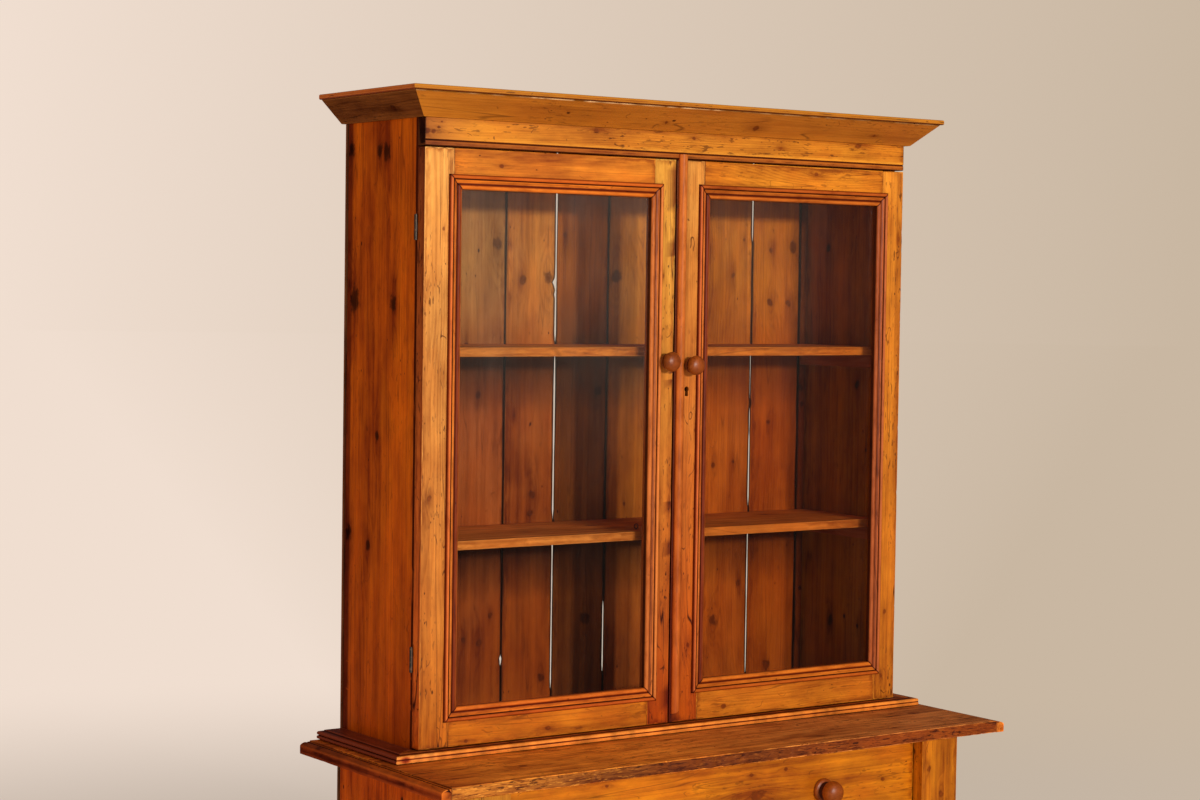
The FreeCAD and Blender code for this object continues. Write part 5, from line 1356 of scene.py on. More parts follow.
def worn_waist(e):
    """The same moulding at the front, where a century of hands has rubbed its two beads into one face."""
    return eased(outline([
        (0.0, C_TOP), (0.0, W_TOP), (e - 18, W_TOP), (e - 18, W_TOP - 1.5), (e - 4.4, W_TOP - 1.5), ("arc", e - 1.4, W_TOP - 3.4),
        (e - 0.5, W_TOP - 7.4), (e - 1.5, W_TOP - 8.6), (e - 1.4, W_TOP - 9.8), (e - 0.2, W_TOP - 10.8), (e, W_TOP - 13.6),
        ("arc", e - 1.2, W_TOP - 16.4), (e - 4.2, C_TOP + 0.8), (e - 7, C_TOP)], 6), 0.5)


def worn_shade(u, v):
    if v > W_TOP - 2.0:
        return (0.40, 0.25, 0.20) if u < 44.2 else (1.0, 1.0, 1.0)
    # painted shadow along the foot of the moulding, where it sits on the countertop
    if v < C_TOP + 1.9:
        return (0.13, 0.07, 0.08)
    if W_TOP - 10.6 < v < W_TOP - 7.9:
        return (0.76, 0.64, 0.56)
    return (1.04, 1.04, 1.06) if v > W_TOP - 7.9 else (0.90, 0.83, 0.78)


def worn_tone(q, n):
    if q[0] < -600.0:
        k = 1.0 if not W_TOP - 10.6 < q[2] < W_TOP - 7.9 else 1.6
        g = 0.0 if q[0] < -655.0 else 0.25 * wob(q[0] / 9.0, 4)
        d = math.hypot((q[0] + 676.0) / 14.0, (q[2] - 830.0) / 8.5)
        e = 1.0 - 0.72 * max(0.0, min(1.0, 1.7 * (1.0 - d)))
        return ((0.98 * k + g) * e, (1.04 * k + g) * e * e, (1.30 * k + g) * e * e)
    f = 0.88 + 0.22 * wob(q[0] / 41.0, 3) + 0.20 * wob(q[0] / 12.0, 8)
    g = max(0.0, min(1.0, (q[0] + 100.0) / 500.0))
    return (f * (1 - 0.12 * g), f * (0.96 - 0.16 * g), f * (0.95 - 0.25 * g))


p = Piece("waist_front_strip")
WF = worn_waist(48.0)


def waist_front(u, v, t):
    x = 650 + u
    px = -x + 0.2 + 2 * (x - 0.2) * t
    f = max(0.72, min(1.0, (-560.0 - px) / 50.0))
    if u > 45.0 and C_TOP + 2.0 < v < W_TOP - 3.0:
        u = u + max(0.0, 47.4 - u) * f
    return (px, FRONT - u, v)


sweep(p, WF, waist_front, 1396, WAIST_F, 70, "x", (-698, FRONT - 48, 821), (698, FRONT, 840), step=7, chips=5.0, wear=0.9, reach=2.6,
      cav_scale=0.9, knots=[(-684, -51, 0, 7), (-30, -50, 0, 5), (70, -51, 0, 4), (-330, -52, 0, 4), (390, -51, 0, 5),
                            (560, -50, 0, 3)], mul=worn_tone, shade=worn_shade)
p.finish("case", MOULD, ["waist_moulding_front"])
p = Piece("waist_return_strips")
for sign, seed, tint in ((-1, 71, WAIST_L), (1, 72, MOULD_DARK)):
    def waist_side(u, v, t, sg=sign):
        y0 = FRONT - (u - 15) if u > 15 else FRONT
        return (sg * (635 + u), y0 + 0.2 + (BACK - y0 - 0.2) * t, v)
    WS = waist(63.0, 0.0)
    sweep(p, WS, waist_side, 332, tint, seed, "y", (-698 if sign < 0 else 635, FRONT - 48, 821),
          (-635 if sign < 0 else 698, BACK, 840), step=16, chips=1.6, wear=0.6, reach=2.6, cav_scale=1.6)
p.finish("case", MOULD, ["waist_moulding_returns"])

# ---------------------------------------------------------------------------------------------------------------------
# Countertop: two boards with moulded ends
# ---------------------------------------------------------------------------------------------------------------------


def counter_tone(q, n):
    """A front edge that is rubbed pale at the left, a top that is browner at the left end and under the right door."""
    if n[1] < -0.7:
        f = max(0.0, min(1.0, (q[0] + 600.0) / 380.0))
        g = max(0.0, min(1.0, (q[0] - 60.0) / 300.0))
        m = [(0.88, 1.02, 1.25)[c] * (1 - f) + (0.29, 0.215, 0.21)[c] * f for c in range(3)]
        return [m[c] * (1.0 + (0.22, 0.05, -0.28)[c] * g) for c in range(3)]
    f = max(0.0, min(1.0, (q[0] + 250.0) / 560.0))
    m = [(1.30, 1.30, 1.28)[c] * (1 - f) + (0.86, 0.90, 1.90)[c] * f for c in range(3)]
    f = max(0.0, min(1.0, (q[0] + 690.0) / 120.0))
    return [(0.80, 0.55, 0.40)[c] * (1 - f) + m[c] * f for c in range(3)]


p = Piece("counter_front_board")
board(p, (-714, -291.7, C_LOW), (714, 40.8, C_TOP), "x", TOP, 80, r=2.1, wear=2.6, step=9, mid=3, hollow=0.25, end=0.3, knots=[(620, -120, 0, 9), (-480, -180, 0, 8), (250, -230, 0, 7), (-60, -100, 0, 6), (455, -240, 0, 5),
                                   (-665, -220, 0, 6)],
      mul=counter_tone, jag=lambda s, nj, nk: 0.0 if nj > -0.3 else
      (1.5 * max(0.0, wob(s / 27.0, 1)) + 1.3 * max(0.0, wob(s / 11.0, 2 + round(nk * 2))) + 0.5) * (1.0 if nk < 0.5 else 0.7))
p.finish("case", COUNTER, ["countertop_front_board"])
p = Piece("counter_back_board")
board(p, (-714, 41.2, C_LOW), (714, BACK, C_TOP), "x", TOP, 81, r=1.6, wear=1.4, step=14, mid=2, hollow=0.25, end=0.3,
      random_knots=5, mul=counter_tone)
p.finish("case", COUNTER, ["countertop_back_board"])
NOSE = eased(outline([(714.1, C_LOW), (714.1, C_TOP - 2.4), (719.4, C_TOP - 2.4), (720.2, C_TOP - 3.9), (721.6, C_TOP - 3.9),
                      (722.6, C_TOP - 2.8), ("arc", 731.5, C_TOP - 4.4), (736.9, C_TOP - 8.6), (736.9, C_LOW)], 6), 0.5)


def nose_shade(u, v):
    if u < 715.4 or 719.2 < u < 722.0:
        return (0.26, 0.15, 0.15)
    if u > 736.3:
        return (0.84, 0.54, 0.28) if v < C_TOP - 11 else (1.15, 0.92, 0.68)
    return (1.10, 1.02, 0.95) if u > 722.0 else (1.20, 1.10, 0.85)


def nose_tone(q, n):
    if q[1] < -290.6:
        return (1.7, 2.2, 2.6)
    back = max(0.0, min(1.0, (q[1] + 291.0) / 570.0))
    f = 1.0 + 0.12 * wob(q[1] / 37.0, 5) + 0.10 * wob(q[1] / 11.0, 9)
    return [f * v for v in ((1.34, 1.28, 1.1)[c] * (1 - back) + (0.58, 0.45, 0.42)[c] * back for c in range(3))]


p = Piece("counter_end_strips")
for sign, seed, tint in ((-1, 82, NOSE_L), (1, 83, NOSE_R)):
    sweep(p, NOSE, lambda u, v, t, sg=sign: (sg * u, -291.5 + (BACK + 291.3) * t, v), 570, tint, seed, "y",
          (-737 if sign < 0 else 714, -291.7, C_LOW), (-714 if sign < 0 else 737, BACK, C_TOP), step=10, chips=2.5, wear=0.6,
          reach=2.6, cav_scale=1.2, random_knots=3, keep=(0.0016, 0.004), mul=nose_tone, shade=nose_shade)
p.finish("case", MOULD, [])

# ---------------------------------------------------------------------------------------------------------------------
# Base
# ---------------------------------------------------------------------------------------------------------------------
p = Piece("base_side_boards")
for sign, seed, tint in ((-1, 90, BASE_L), (1, 92, BASE_R)):
    x0, x1 = (-648, -626) if sign < 0 else (626, 648)
    board(p, (x0, -206.1, 0), (x1, 65.5, C_LOW), "z", tint, seed, r=0.8, random_knots=3, knot_size=(4, 9), mid=3, hollow=0.4)
    board(p, (x0, 65.9, 0), (x1, 265.7, C_LOW), "z", tint, seed + 1, r=0.8, random_knots=3, knot_size=(4, 9), mid=2, hollow=0.4)
p.finish("case", PANEL, ["base_sides"])

p = Piece("base_front_stiles")
board(p, (-648, -236.3, 0), (-544, -206.3, C_LOW), "z", STILE_BL, 94, r=1.5, random_knots=3, mid=1, hollow=0.3,
      mul=lambda q, n: (1.0, 1.0, 1.0) if q[2] > 720 else
      [1.0 + ((1.06, 0.78, 0.45)[c] - 1.0) * min(1.0, (720 - q[2]) / 160.0) for c in range(3)])
board(p, (544, -236.3, 0), (648, -206.3, C_LOW), "z", STILE_BR, 95, r=1.5, mid=1, hollow=0.3,
      knots=[(564, 0, 718, 5), (602, 0, 658, 6), (529, 0, 675, 4), (590, 0, 400, 7), (575, 0, 200, 6)])
p.finish("case", PINE, ["base_stiles"])

lo, hi = span("base_middle_rail")
p = Piece("base_rail")
board(p, lo, hi, "x", BROWN, 96, r=1.2, random_knots=3, wide="y")
p.finish("case", RAIL, ["base_middle_rail"])

p = Piece("base_floor_boards")
board(p, (-543.9, -236.1, 80), (543.9, -206.4, 100), "x", INNER_DARK, 97, r=1.0)
board(p, (-626, -206.2, 80), (626, 40, 100), "x", INNER, 98, r=0.8, random_knots=4)
board(p, (-626, 40.4, 80), (626, 265.7, 100), "x", INNER, 99, r=0.8, random_knots=4)
p.finish("case", INSIDE, ["base_bottom_board"])

p = Piece("base_back_planks")
back_planks(p, [-648, -520, -389, -262, -131, 4, 131, 259, 394, 521, 648], 265.7, BACK, 60, 795,
            [BACKS, INNER_DARK, BACKS], 110, {}, 2.0, False, lambda z, k: (1.0, 1.0, 1.0))
p.finish("case", INSIDE, ["base_backboards"])

p = Piece("drawer_runner_strips")
for sign, seed in ((-1, 122), (1, 124)):
    a0, a1 = (-626, -514) if sign < 0 else (514, 626)
    board(p, (a0, -186.2, 589), (a1, 265.7, 609), "y", INNER_DARK, seed, r=0.9)
    b0, b1 = (-626, -544.5) if sign < 0 else (544.5, 626)
    board(p, (b0, -206.2, 609.1), (b1, 265.7, 633), "y", INNER_DARK, seed + 1, r=0.9)
p.finish("case", INSIDE, ["drawer_runners"])

PLINTH = eased(outline([(0.3, 0), (19, 0), (19, 80), ("arc", 15.6, 90), (6, 96), (0.3, 96)], 5), 1.0)
p = Piece("plinth_boards")
sweep(p, PLINTH, lambda u, v, t: (-(648 + u) + 0.15 + 2 * (648 + u - 0.15) * t, -236.3 - u, v), 1334, BROWN, 130, "x",
      (-667, -255.3, 0), (667, -236.3, 96), step=20, chips=2.0, random_knots=4)
for sign, seed, tint in ((-1, 131, BASE_L), (1, 132, BASE_R)):
    sweep(p, PLINTH, lambda u, v, t, sg=sign: (sg * (648 + u), -236.3 - u + 0.15 + (BACK + 236.3 + u - 0.15) * t, v), 534, tint, seed,
          "y", (-667 if sign < 0 else 648, -255.3, 0), (-648 if sign < 0 else 667, BACK, 96), step=20, chips=1.5, random_knots=2)
p.finish("case", MOULD, ["plinth"])

# ---------------------------------------------------------------------------------------------------------------------
# Glazed doors
# ---------------------------------------------------------------------------------------------------------------------
DOOR_KNOB = outline([
    (6, -16.5), (6, 0), (10.3, 0), (10.5, 5), (10.9, 8.8), (15.6, 9.4), ("arc", 17, 11.2), (15.6, 13.4), (12.6, 14.4),
    (11.8, 16.8), (13.4, 19), ("arc", 19.2, 22.6), (21, 28.2), ("arc", 18.8, 34.6), (11, 39.6), ("arc", 7.6, 40.7),
    (4, 41.2), (0, 41.2)], 6)
DRAWER_KNOB = outline([
    (8, -21.5), (8, 0), (24.6, 0), ("arc", 25.8, 4.4), (22.5, 9.2), (16, 11.4), (13.6, 16), (15.2, 20.4), ("arc", 22.6, 26),
    (24.6, 35), ("arc", 22, 44.6), (13, 51.2), ("arc", 9, 52.6), (4.5, 53.4), (0, 53.4)], 6)
LOW_KNOB = outline([
    (6, -16.5), (6, 0), (16.5, 0), ("arc", 17.6, 3.4), (15, 6.6), (11.6, 9), (11.2, 13), (13.4, 15.8), ("arc", 18.6, 19),
    (20, 25), ("arc", 17.8, 32), (10.6, 36.4), ("arc", 7.4, 37.4), (4, 38), (0, 38)], 6)


def mould_outline(lap):
    return eased(outline([
        (0, 0.3), (0, -3.4), ("arc", 4.4, -7.8), (8.8, -4.2), (8.8, -3), (10.4, -3), (10.4, -5.6), ("arc", 13.6, -3.1),
        (19.6, -1.9), (19.6, -3.4), ("arc", 25, -5), (30, -0.6), (30, 8.9), (lap, 8.9), (lap, 0.3)], 6), 0.35, 30)


BANDS = [(1.5, (0.26, 0.12, 0.12)), (2.6, (0.88, 0.82, 0.86)), (7.8, (0.88, 0.82, 0.86)), (8.6, (0.26, 0.13, 0.13)),
         (10.7, (0.26, 0.13, 0.13)), (11.4, (1.50, 2.00, 2.00)), (16.0, (1.50, 2.00, 2.00)), (18.4, (1.02, 0.95, 0.80)),
         (19.5, (0.24, 0.11, 0.11)), (21.8, (0.28, 0.14, 0.13)), (23.4, (1.15, 1.35, 1.35)), (28.6, (1.22, 1.45, 1.5)),
         (30.5, (0.40, 0.24, 0.20))]
# LEFT_BANDS: the inner slope of the left uprights is painted dark as shade
LEFT_BANDS = [(1.5, (0.24, 0.11, 0.11)), (2.6, (1.15, 0.98, 1.0)), (7.8, (1.18, 1.0, 1.02)), (8.6, (0.24, 0.12, 0.12)),
              (10.7, (0.26, 0.13, 0.13)), (11.4, (1.85, 2.30, 2.30)), (16.0, (1.85, 2.30, 2.30)), (18.4, (1.10, 0.98, 0.85)),
              (19.5, (0.28, 0.14, 0.14)), (21.8, (0.34, 0.19, 0.18)), (26.0, (0.46, 0.30, 0.30)), (27.4, (0.52, 0.36, 0.34)),
              (28.2, (1.30, 1.35, 1.3)), (29.6, (1.30, 1.35, 1.3)), (30.5, (0.45, 0.26, 0.22))]
FLAT_BANDS = [(1.5, (0.24, 0.11, 0.12)), (2.4, (1.10, 1.05, 1.10)), (4.6, (1.35, 1.45, 1.5)), (7.8, (0.95, 0.92, 1.0)),
              (8.6, (0.24, 0.12, 0.13)), (10.7, (0.26, 0.13, 0.14)), (11.6, (1.35, 1.45, 1.5)), (13.4, (1.22, 1.28, 1.3)),
              (15.0, (0.98, 0.96, 1.0)), (19.5, (0.82, 0.74, 0.80)), (21.8, (0.78, 0.70, 0.76)), (23.4, (1.02, 1.0, 1.05)),
              (28.6, (1.0, 0.98, 1.05)), (29.55, (0.85, 0.75, 0.75)), (29.9, (0.17, 0.13, 0.16)), (30.5, (0.17, 0.13, 0.16))]


def banded(u, v, bands=None):
    """Old polish rubbed off the crests and gathered in the quirks of the bolection moulding."""
    last = (bands or BANDS)[0]
    for edge, tone in bands or BANDS:
        if u <= edge:
            f = 1.0 if edge == last[0] else (u - last[0]) / (edge - last[0])
            f = max(0.0, min(1.0, f))
            return [last[1][c] * (1 - f) + tone[c] * f for c in range(3)]
        last = (edge, tone)
    return (bands or BANDS)[-1][1]


def left_banded(u, v):
    """The uprights at the left: their inner slope faces away and is painted dark as shade down to its lip."""
    return banded(u, v, LEFT_BANDS)


def flat_banded(u, v):
    """The same for the uprights at the right, where the broad inner slope faces the room and is left brown, without
    that painted shade.
    """
    return banded(u, v, FLAT_BANDS)


def door_moulding(name, body, node, x0, x1, z0, z1, laps, tints, seed):
    """laps are the rebates at left, right, top and bottom."""
    q = Piece(name)
    gap = 0.18
    ll, lr, lt, lb = laps
    t_left, t_right, t_top, t_low = tints

    def mitre_x(top):
        def f(p, n):
            w = z1 - p[2] if top else p[2] - z0
            return (0.20, 0.10, 0.10) if min(p[0] - x0 - w, x1 - w - p[0]) < 1.25 else (1.0, 1.0, 1.0)
        return f

    def mitre_z(right):
        def f(p, n):
            w = x1 - p[0] if right else p[0] - x0
            return (0.20, 0.10, 0.10) if min(p[2] - z0 - w, z1 - w - p[2]) < 1.25 else (1.0, 1.0, 1.0)
        return f

    kx = (0.95 / (x1 - x0), 2.3 / (x1 - x0), 1 - 0.95 / (x1 - x0), 1 - 2.3 / (x1 - x0))
    kz = (0.95 / (z1 - z0), 2.3 / (z1 - z0), 1 - 0.95 / (z1 - z0), 1 - 2.3 / (z1 - z0))
    sweep(q, mould_outline(lb), lambda w, y, t: (x0 + w + gap + (x1 - x0 - 2 * w - 2 * gap) * t, FACE + y, z0 + w), x1 - x0, t_low, seed,
          "x", (x0, FACE - 8, z0), (x1, FACE + 9, z0 + 30), step=20, reach=1.8, cav_scale=1.1, chips=1.6, shade=banded,
          keep=kx, mul=mitre_x(False))
    sweep(q, mould_outline(lt), lambda w, y, t: (x0 + w + gap + (x1 - x0 - 2 * w - 2 * gap) * t, FACE + y, z1 - w), x1 - x0, t_top,
          seed + 1, "x", (x0, FACE - 8, z1 - 30), (x1, FACE + 9, z1), step=20, reach=1.8, cav_scale=1.1, chips=1.2, shade=banded,
          keep=kx, mul=mitre_x(True))
    sweep(q, mould_outline(ll), lambda w, y, t: (x0 + w, FACE + y, z0 + w + gap + (z1 - z0 - 2 * w - 2 * gap) * t), z1 - z0, t_left,
          seed + 2, "z", (x0, FACE - 8, z0), (x0 + 30, FACE + 9, z1), step=22, reach=1.8, cav_scale=1.1, chips=0.8, shade=left_banded,
          keep=kz, mul=mitre_z(False))
    sweep(q, mould_outline(lr), lambda w, y, t: (x1 - w, FACE + y, z0 + w + gap + (z1 - z0 - 2 * w - 2 * gap) * t), z1 - z0, t_right,
          seed + 3, "z", (x1 - 30, FACE - 8, z0), (x1, FACE + 9, z1), step=22, reach=1.8, cav_scale=1.1, chips=0.8,
          shade=flat_banded, keep=kz, mul=mitre_z(True))
    return q.finish(body, MOULD, [node])


def beads(name, body, node, x0, x1, z0, z1, seed):
    q = Piece(name)
    y0, y1 = -21.3, -13.3
    board(q, (x0, y0, z0), (x1, y1, z0 + 8), "x", INNER, seed, r=1.6, wear=0.4)
    board(q, (x0, y0, z1 - 8), (x1, y1, z1), "x", INNER, seed + 1, r=1.6, wear=0.4)
    board(q, (x0, y0, z0 + 8.1), (x0 + 8, y1, z1 - 8.1), "z", INNER, seed + 2, r=1.6, wear=0.4)
    board(q, (x1 - 8, y0, z0 + 8.1), (x1, y1, z1 - 8.1), "z", INNER, seed + 3, r=1.6, wear=0.4)
    return q.finish(body, INSIDE, [node])


DB = DOOR_BACK - 0.2
# left door
p = Piece("left_hinge_stile")
board(p, (-635, FACE, 843), (-567.15, DB, 2052), "z", GOLD, 200, r=0.8, mid=2, hollow=0.3, mul=door_light_and_shade(-1, share=(0.23, 0.085, 0.05), foot=(1.38, 0.80, 0.42)),
      knots=[(-617, 0, 1349, 5), (-590, 0, 1890, 3)])
p.finish("left_door", PINE, ["left_door_hinge_stile"])
p = Piece("left_meeting_stile")
board(p, (-66.85, FACE, 843), (-12.5, DB, 2052), "z", STILE_LM, 201, r=0.9, mid=1, hollow=0.3, random_knots=2, knot_size=(3, 4),
      mul=door_light_and_shade(1, share=(0.30, 0.15, 0.15), low=(0.58, 0.26, 0.09), high=(0.95, 1.28, 2.4)))


def left_meeting_tone(q, n=None):
    # painted light: paler and brighter towards the top
    h = max(0.0, min(1.0, (q[2] - 850.0) / 1200.0)) ** 1.2
    m = [(0.60, 0.26, 0.07)[c] * (1 - h) + (1.04, 1.53, 4.0)[c] * h for c in range(3)]
    # painted shade on the meeting edge face
    return [m[c] * (0.30, 0.15, 0.15)[c] for c in range(3)] if q[0] > -13.3 else m


def mortise_cutter():
    """The hole that the lock's bolt enters."""
    lo, hi = span("lock_bolt")
    bx = [(xx, yy, zz) for xx in (-24.5, -11.5) for yy in (lo[1] - 0.4, hi[1] + 0.4) for zz in (lo[2] - 0.4, hi[2] + 0.4)]
    return bx, [(0, 1, 3, 2), (4, 6, 7, 5), (0, 4, 5, 1), (2, 3, 7, 6), (0, 2, 6, 4), (1, 5, 7, 3)]


p.after = left_meeting_tone
p.finish("left_door", PINE, ["left_door_meeting_stile"], cutters=[mortise_cutter()])
p = Piece("left_rails")
board(p, (-567, FACE, 843), (-67, DB, 907), "x", RAIL_LB, 202, r=0.9, mid=1, hollow=0.3, knots=[(-322, 0, 860, 4.5), (-523, 0, 851, 3)])
board(p, (-567, FACE, 1987), (-67, DB, 2052), "x", RAIL_LT, 203, r=0.9, mid=1, hollow=0.3, random_knots=1, knot_size=(3, 4))
p.finish("left_door", RAIL, ["left_door_rails"])
door_moulding("left_bolection", "left_door", "left_door_moulding", -579, -47.5, 894, 2000, (12, 19.5, 13, 13),
              (MOULD_DARK, MOULD_LR, TOP_L, MOULD_MID), 204)
beads("left_glass_beads", "left_door", "left_door_glazing_beads", -567, -67, 907, 1987, 208)
p = Piece("left_knob")
lathe(p, DOOR_KNOB, -36.3, FACE, 1622, KNOB_T, 212)
p.finish("left_door", KNOB, ["left_door_knob"], smooth=50)

# right door
p = Piece("right_hinge_stile")
board(p, (575.15, FACE, 843), (635, DB, 2052), "z", STILE_RH, 220, r=0.8, mid=2, hollow=0.3, random_knots=3, knot_size=(3, 5),
      mul=door_light_and_shade(1, low=(0.80, 0.70, 0.56), high=(1.00, 1.03, 1.6)))
p.finish("right_door", PINE, ["right_door_hinge_stile"])


def keyhole_cutters():
    n = 28
    r, x, z = 6.0, 24.6, 1562.0
    ya, yb = FACE - 3, FACE + 13.5
    ring = []
    for k in range(n + 1):
        a = math.radians(-51 + 282.0 * k / n)
        ring.append((x + r * math.cos(a), z + r * math.sin(a)))
    ring += [(x - 4.3, 1548.4), (x - 3.5, 1547.0), (x + 3.5, 1547.0), (x + 4.3, 1548.4)]
    m = len(ring)
    pts = [(u, ya, v) for u, v in ring] + [(u, yb, v) for u, v in ring]
    faces = [tuple(range(m)), tuple(range(2 * m - 1, m - 1, -1))]
    faces += [(k, (k + 1) % m, m + (k + 1) % m, m + k) for k in range(m)]
    # seat of the lock case
    lo, hi = span("lock_case")
    bx = [(xx, yy, zz) for xx in (lo[0] - 2, hi[0] + 0.15) for yy in (lo[1] - 0.15, DB + 3) for zz in (lo[2] - 0.15, hi[2] + 0.15)]
    bf = [(0, 1, 3, 2), (4, 6, 7, 5), (0, 4, 5, 1), (2, 3, 7, 6), (0, 2, 6, 4), (1, 5, 7, 3)]
    return [(pts, faces), (bx, bf)]


p = Piece("right_meeting_stile")
board(p, (-8.8, FACE, 843), (64.35, DB, 2052), "z", STILE_RM, 221, r=0.9, mid=1, hollow=0.0, random_knots=2, knot_size=(3, 4))


def right_meeting_tone(q, n):
    # painted light: paler and brighter towards the top
    h = max(0.0, min(1.0, (q[2] - 850.0) / 1200.0)) ** 1.5
    m = [(0.85, 0.44, 0.12)[c] * (1 - h) + (1.30, 1.74, 4.2)[c] * h for c in range(3)]
    # the inside of the keyhole is painted nearly black as shade
    if q[1] > FACE + 1.0 and abs(q[0] - 24.6) < 8.0 and 1544.0 < q[2] < 1571.0:
        return (0.05, 0.03, 0.03)
    # painted shade on the edge face under the bead
    return [m[c] * (0.22, 0.11, 0.12)[c] for c in range(3)] if q[0] < -4.0 else m


p.after = right_meeting_tone
p.finish("right_door", PINE, ["right_door_meeting_stile"], cutters=keyhole_cutters())
p = Piece("right_rails")
board(p, (64.5, FACE, 843), (575, DB, 915), "x", RAIL_RB, 222, r=0.9, mid=1, hollow=0.3, random_knots=2, knot_size=(3, 5))
board(p, (64.5, FACE, 1989), (575, DB, 2052), "x", RAIL_RT, 223, r=0.9, mid=1, hollow=0.3, random_knots=1, knot_size=(3, 4))
p.finish("right_door", RAIL, ["right_door_rails"])
door_moulding("right_bolection", "right_door", "right_door_moulding", 49, 586.5, 902, 2002, (15.5, 11.5, 13, 13),
              (MOULD_RL, MOULD_RR, TOP_R, MOULD_RB), 224)
beads("right_glass_beads", "right_door", "right_door_glazing_beads", 64.5, 575, 915, 1989, 228)
p = Piece("right_knob")
lathe(p, DOOR_KNOB, 28.5, FACE, 1614, KNOB_T, 232)
p.finish("right_door", KNOB, ["right_door_knob"], smooth=50)

# half-round bead over the meeting of the doors, broken off at its lower end
lo, hi = span("meeting_bead")
BEAD = []
for k in range(15):
    ang = math.pi * k / 14
    BEAD.append((5.0 + 10.4 * math.cos(ang), -33.6 - 10.1 * math.sin(ang) ** 0.9))
BEAD = eased(BEAD, 0.8, 60)


def bead_shade(u, v):
    # painted shade at both feet of the half-round, and a painted highlight along its crest
    if u < -4.6:
        return (0.80, 0.50, 0.45)
    if u < -2.0:
        return (1.22, 1.12, 1.05)
    if u > 13.8:
        return (0.34, 0.20, 0.18)
    if 2.0 < u < 8.0:
        return (1.25, 1.28, 1.25)
    return (1.06, 0.98, 0.94)


def bead_tone(q, n):
    # painted light: darker and redder towards the foot, as on the door faces
    h = max(0.0, min(1.0, (q[2] - 1100.0) / 800.0))
    f = 1.0 + 0.12 * wob(q[2] / 33.0, 2)
    return [f * ((0.78, 0.68, 0.55)[c] * (1 - h) + (0.88, 0.95, 0.93)[c] * h) for c in range(3)]


def bead_place(u, v, t):
    z0 = 860.4 + 7.5 * (u + 5.4) / 20.8 + 1.5 * wob(u * 0.9, 4) * 0.6 + 1.0
    return (u, v, z0 + (2064 - z0) * t)


p = Piece("meeting_bead_strip")
sweep(p, BEAD, bead_place, 1200, RUSSET, 236, "z", (-5.4, -43.7, 860), (15.4, -33.6, 2064), step=12, wear=0.5, chips=1.6, reach=4.0,
      cav_scale=0.5, shade=bead_shade, mul=bead_tone)
p.finish("right_door", MOULD, ["meeting_bead"])

# ---------------------------------------------------------------------------------------------------------------------
# Drawer
# ---------------------------------------------------------------------------------------------------------------------
p = Piece("drawer_front_board")
board(p, (-543, -207.3, 611), (543, -185.3, 793), "x", DRAWER_T, 300, r=1.3, mid=2, hollow=0.3, knots=[
    (98, 0, 701, 13), (82, 0, 749, 3.5), (177, 0, 752, 3.5), (454, 0, 702, 4), (-293, 0, 765, 3.5), (-120, 0, 655, 6)])
p.finish("drawer", RAIL, ["drawer_front"])
p = Piece("drawer_side_boards")
lo, hi = span("drawer_sides")
board(p, (lo[0], lo[1], lo[2]), (lo[0] + 12, hi[1], hi[2]), "y", DRAWER_IN, 301, r=0.8, wide="z", random_knots=2)
board(p, (hi[0] - 12, lo[1], lo[2]), (hi[0], hi[1], hi[2]), "y", DRAWER_IN, 302, r=0.8, wide="z", random_knots=2)
p.finish("drawer", INSIDE, ["drawer_sides"])
lo, hi = span("drawer_back")
p = Piece("drawer_back_board")
board(p, lo, hi, "x", DRAWER_IN, 303, r=0.8, random_knots=2)
p.finish("drawer", INSIDE, ["drawer_back"])
lo, hi = span("drawer_bottom")
p = Piece("drawer_bottom_board")
board(p, lo, hi, "x", DRAWER_IN, 304, r=0.4, wear=0.2, random_knots=5)
p.finish("drawer", INSIDE, ["drawer_bottom"])
p = Piece("drawer_pull_knobs")
lathe(p, DRAWER_KNOB, -280, -207.3, 696.5, KNOB_T, 305)
lathe(p, DRAWER_KNOB, 280, -207.3, 696.5, KNOB_T, 306)
p.finish("drawer", KNOB, ["drawer_knobs"], smooth=50)

# ---------------------------------------------------------------------------------------------------------------------
# Lower doors
# ---------------------------------------------------------------------------------------------------------------------
for side, x0, x1, kx, seed in (("left", -542.5, -1.0, -38, 320), ("right", 1.0, 542.5, 38, 340)):
    body = "lower_%s_door" % side
    y0, y1, z0, z1, w = -235.3, -213.3, 102, 577, 74
    p = Piece("lower_%s_frame" % side)
    board(p, (x0, y0, z0), (x0 + w - 0.1, y1, z1), "z", TAN if side == "left" else BROWN, seed, r=1.2, mid=1, hollow=0.3, random_knots=2)
    board(p, (x1 - w + 0.1, y0, z0), (x1, y1, z1), "z", BROWN, seed + 1, r=1.2, mid=1, hollow=0.3, random_knots=2)
    board(p, (x0 + w, y0, z0), (x1 - w, y1, z0 + w), "x", BROWN, seed + 2, r=1.2, mid=1, hollow=0.3, random_knots=2)
    board(p, (x0 + w, y0, z1 - w), (x1 - w, y1, z1), "x", TAN, seed + 3, r=1.2, mid=1, hollow=0.3, random_knots=2)
    p.finish(body, RAIL, ["lower_%s_door_frame" % side])
    lo, hi = span("lower_%s_door_panel" % side)
    p = Piece("lower_%s_panel" % side)
    board(p, lo, hi, "z", BROWN, seed + 4, r=0.5, wear=0.1, mid=4, hollow=0.5, random_knots=6)
    p.finish(body, RAIL, ["lower_%s_door_panel" % side])
    p = Piece("lower_%s_knob" % side)
    lathe(p, LOW_KNOB, kx, y0, 364, KNOB_T, seed + 5)
    p.finish(body, KNOB, ["lower_%s_door_knob" % side], smooth=50)

